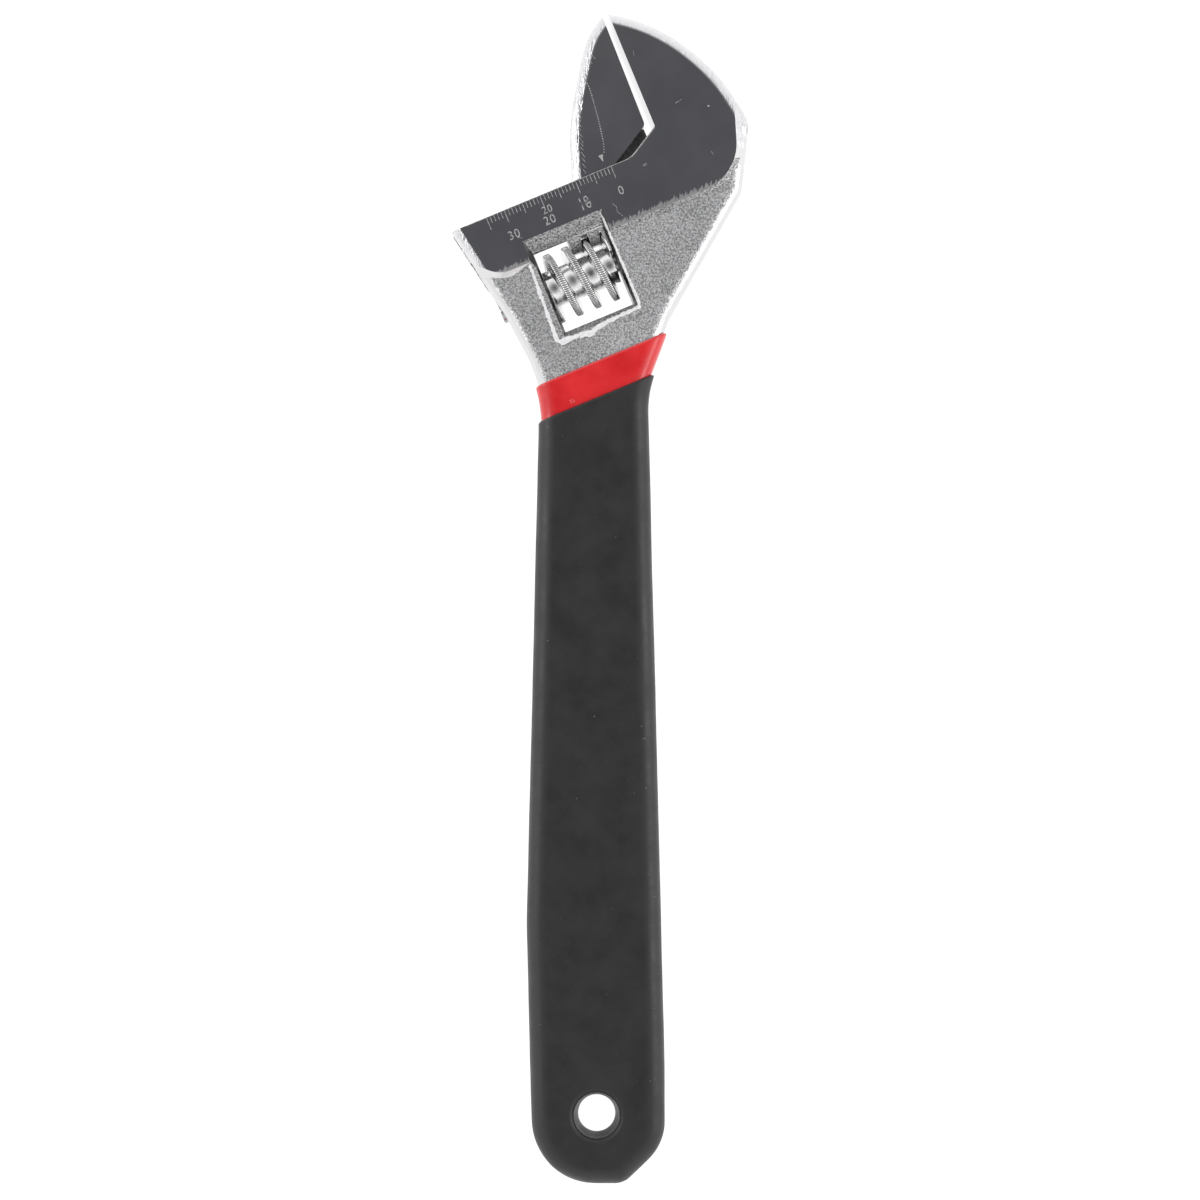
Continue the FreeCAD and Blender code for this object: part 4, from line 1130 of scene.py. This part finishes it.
# The lip's middle line from the window's upper left corner round to its upper right one: u, v, half width.
LIP_ROUTE = [
    (-43.4, -11.0, 0.45), (-43.9, -18.0, 0.5), (-44.2, -25.0, 0.55), (-44.5, -32.0, 0.6),
    (-44.7, -36.4, 0.8), (-43.6, -37.3, 0.9), (-40.0, -37.2, 0.75), (-37.4, -37.5, 0.85),
    (-35.8, -38.2, 1.15), (-34.4, -37.5, 0.8), (-31.0, -36.9, 0.7), (-26.0, -36.6, 0.65),
    (-21.8, -36.5, 0.6), (-21.2, -35.4, 0.5), (-21.3, -28.0, 0.4), (-21.4, -20.0, 0.4),
    (-21.5, -12.0, 0.35), (-21.6, -9.6, 0.3),
]
LIP_HEIGHT = 0.32
LIP_NARROWING = 0.85
LIP_STEP = 0.3
LIP_JITTER = 0.16
LIP_SINK = 0.08
# The lip follows the surface up to this far above the cheeks.
LIP_CLIMB = 0.9
LIP_ARC = 8


def lip_line():
    """The lip's middle line in fine steps: place and half width, with a seeded raggedness."""
    points = []
    for (u0, v0, w0), (u1, v1, w1) in zip(LIP_ROUTE, LIP_ROUTE[1:]):
        steps = max(2, int(math.hypot(u1 - u0, v1 - v0) / LIP_STEP))
        for i in range(steps):
            part = i / steps
            u, v = between((u0, v0), (u1, v1), part)
            jitter = Vector((LIP_JITTER, LIP_JITTER)) * noise.noise(Vector((u * 0.9, v * 0.9, 1.0)))
            ragged = 1 + 0.75 * noise.noise(Vector((u * 1.6, v * 1.6, 5.0)))
            width = LIP_NARROWING * (w0 + (w1 - w0) * part) * ragged
            points.append((Vector((u, v)) + jitter, width))
    return points


def lip_ground(tree, place, side):
    """Height of the forging's surface under the lip at a place, kept near the cheek's."""
    hit = tree.ray_cast(head(place.x, place.y, side * 30), Vector((0, 0, -side)))[0]
    if hit and abs(hit.z) > ABOVE_WEB * MM:
        return min(abs(hit.z) / MM, CHEEK + LIP_CLIMB)
    return CHEEK


def window_lip(material, side, name):
    """The ragged ridge thrown up around one mouth of the knurl window, bright with a painted highlight."""
    tree = surface_tree("forged_body")
    line = lip_line()
    vertices = []
    for i, (spot, width) in enumerate(line):
        ahead = line[min(i + 1, len(line) - 1)][0]
        behind = line[max(i - 1, 0)][0]
        along = (ahead - behind).normalized()
        across = Vector((-along.y, along.x))
        height = LIP_HEIGHT * (0.75 + 0.5 * noise.noise(Vector((spot.x * 1.1, spot.y * 1.1, 9.0))))
        for k in range(LIP_ARC + 1):
            turn = math.pi * k / LIP_ARC
            place = spot + across * width * math.cos(turn)
            rise = height * math.sin(turn) - LIP_SINK
            vertices.append(head(place.x, place.y, side * (lip_ground(tree, place, side) + rise)))
    count = LIP_ARC + 1
    faces = []
    for i in range(len(line) - 1):
        for k in range(count):
            a = i * count + k
            b = i * count + (k + 1) % count
            faces.append((a, b, b + count, a + count))
    faces.append(tuple(range(count)))
    faces.append(tuple(len(vertices) - 1 - k for k in range(count)))
    mesh_object(name, vertices, faces, material, "root")


# ---------------------------------------------------------------- build

stage()
# In the order of the finishes' numbers.
chromes = [
    polished_chrome(),
    grainy_chrome("blasted_chrome", 0.38, 0.98),
    side_chrome(),
    brushed_chrome(),
    shaded_chrome(),
    # A darker copy of the blasted plating for the slopes: painted shade.
    grainy_chrome("window_slope_shaded_chrome", 0.10, 0.55),
]
jaw_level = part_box("movable_jaw")[1].z / MM
zone_faces("forged_body", chromes, FACE * MM)
zone_faces("movable_jaw", chromes, jaw_level * MM)
finished("knurl_pin", [turned_steel("turned_pin_steel", U)])
finished("knurl_spring", [turned_steel("drawn_wire_steel", V)])
knurl(knurl_chrome(), notch_chrome())
red = red_vinyl()
grip(red, black_vinyl())
dip_bubble(red)
etched = etched_mark()
scale_ticks(etched)
# The slide's edge takes the marks' grey as a painted glint.
slide_edge(etched)
scale_numbers(etched)
index_arrow(etched, jaw_level)
dotted_arc(etched, jaw_level)
plateau_nicks(etched)
jaw_strokes(etched, jaw_level)
# The lip's near-white colour is a painted highlight.
glinting_lip = lip_chrome()
window_lip(glinting_lip, 1, "window_lip_upper")
window_lip(glinting_lip, -1, "window_lip_lower")
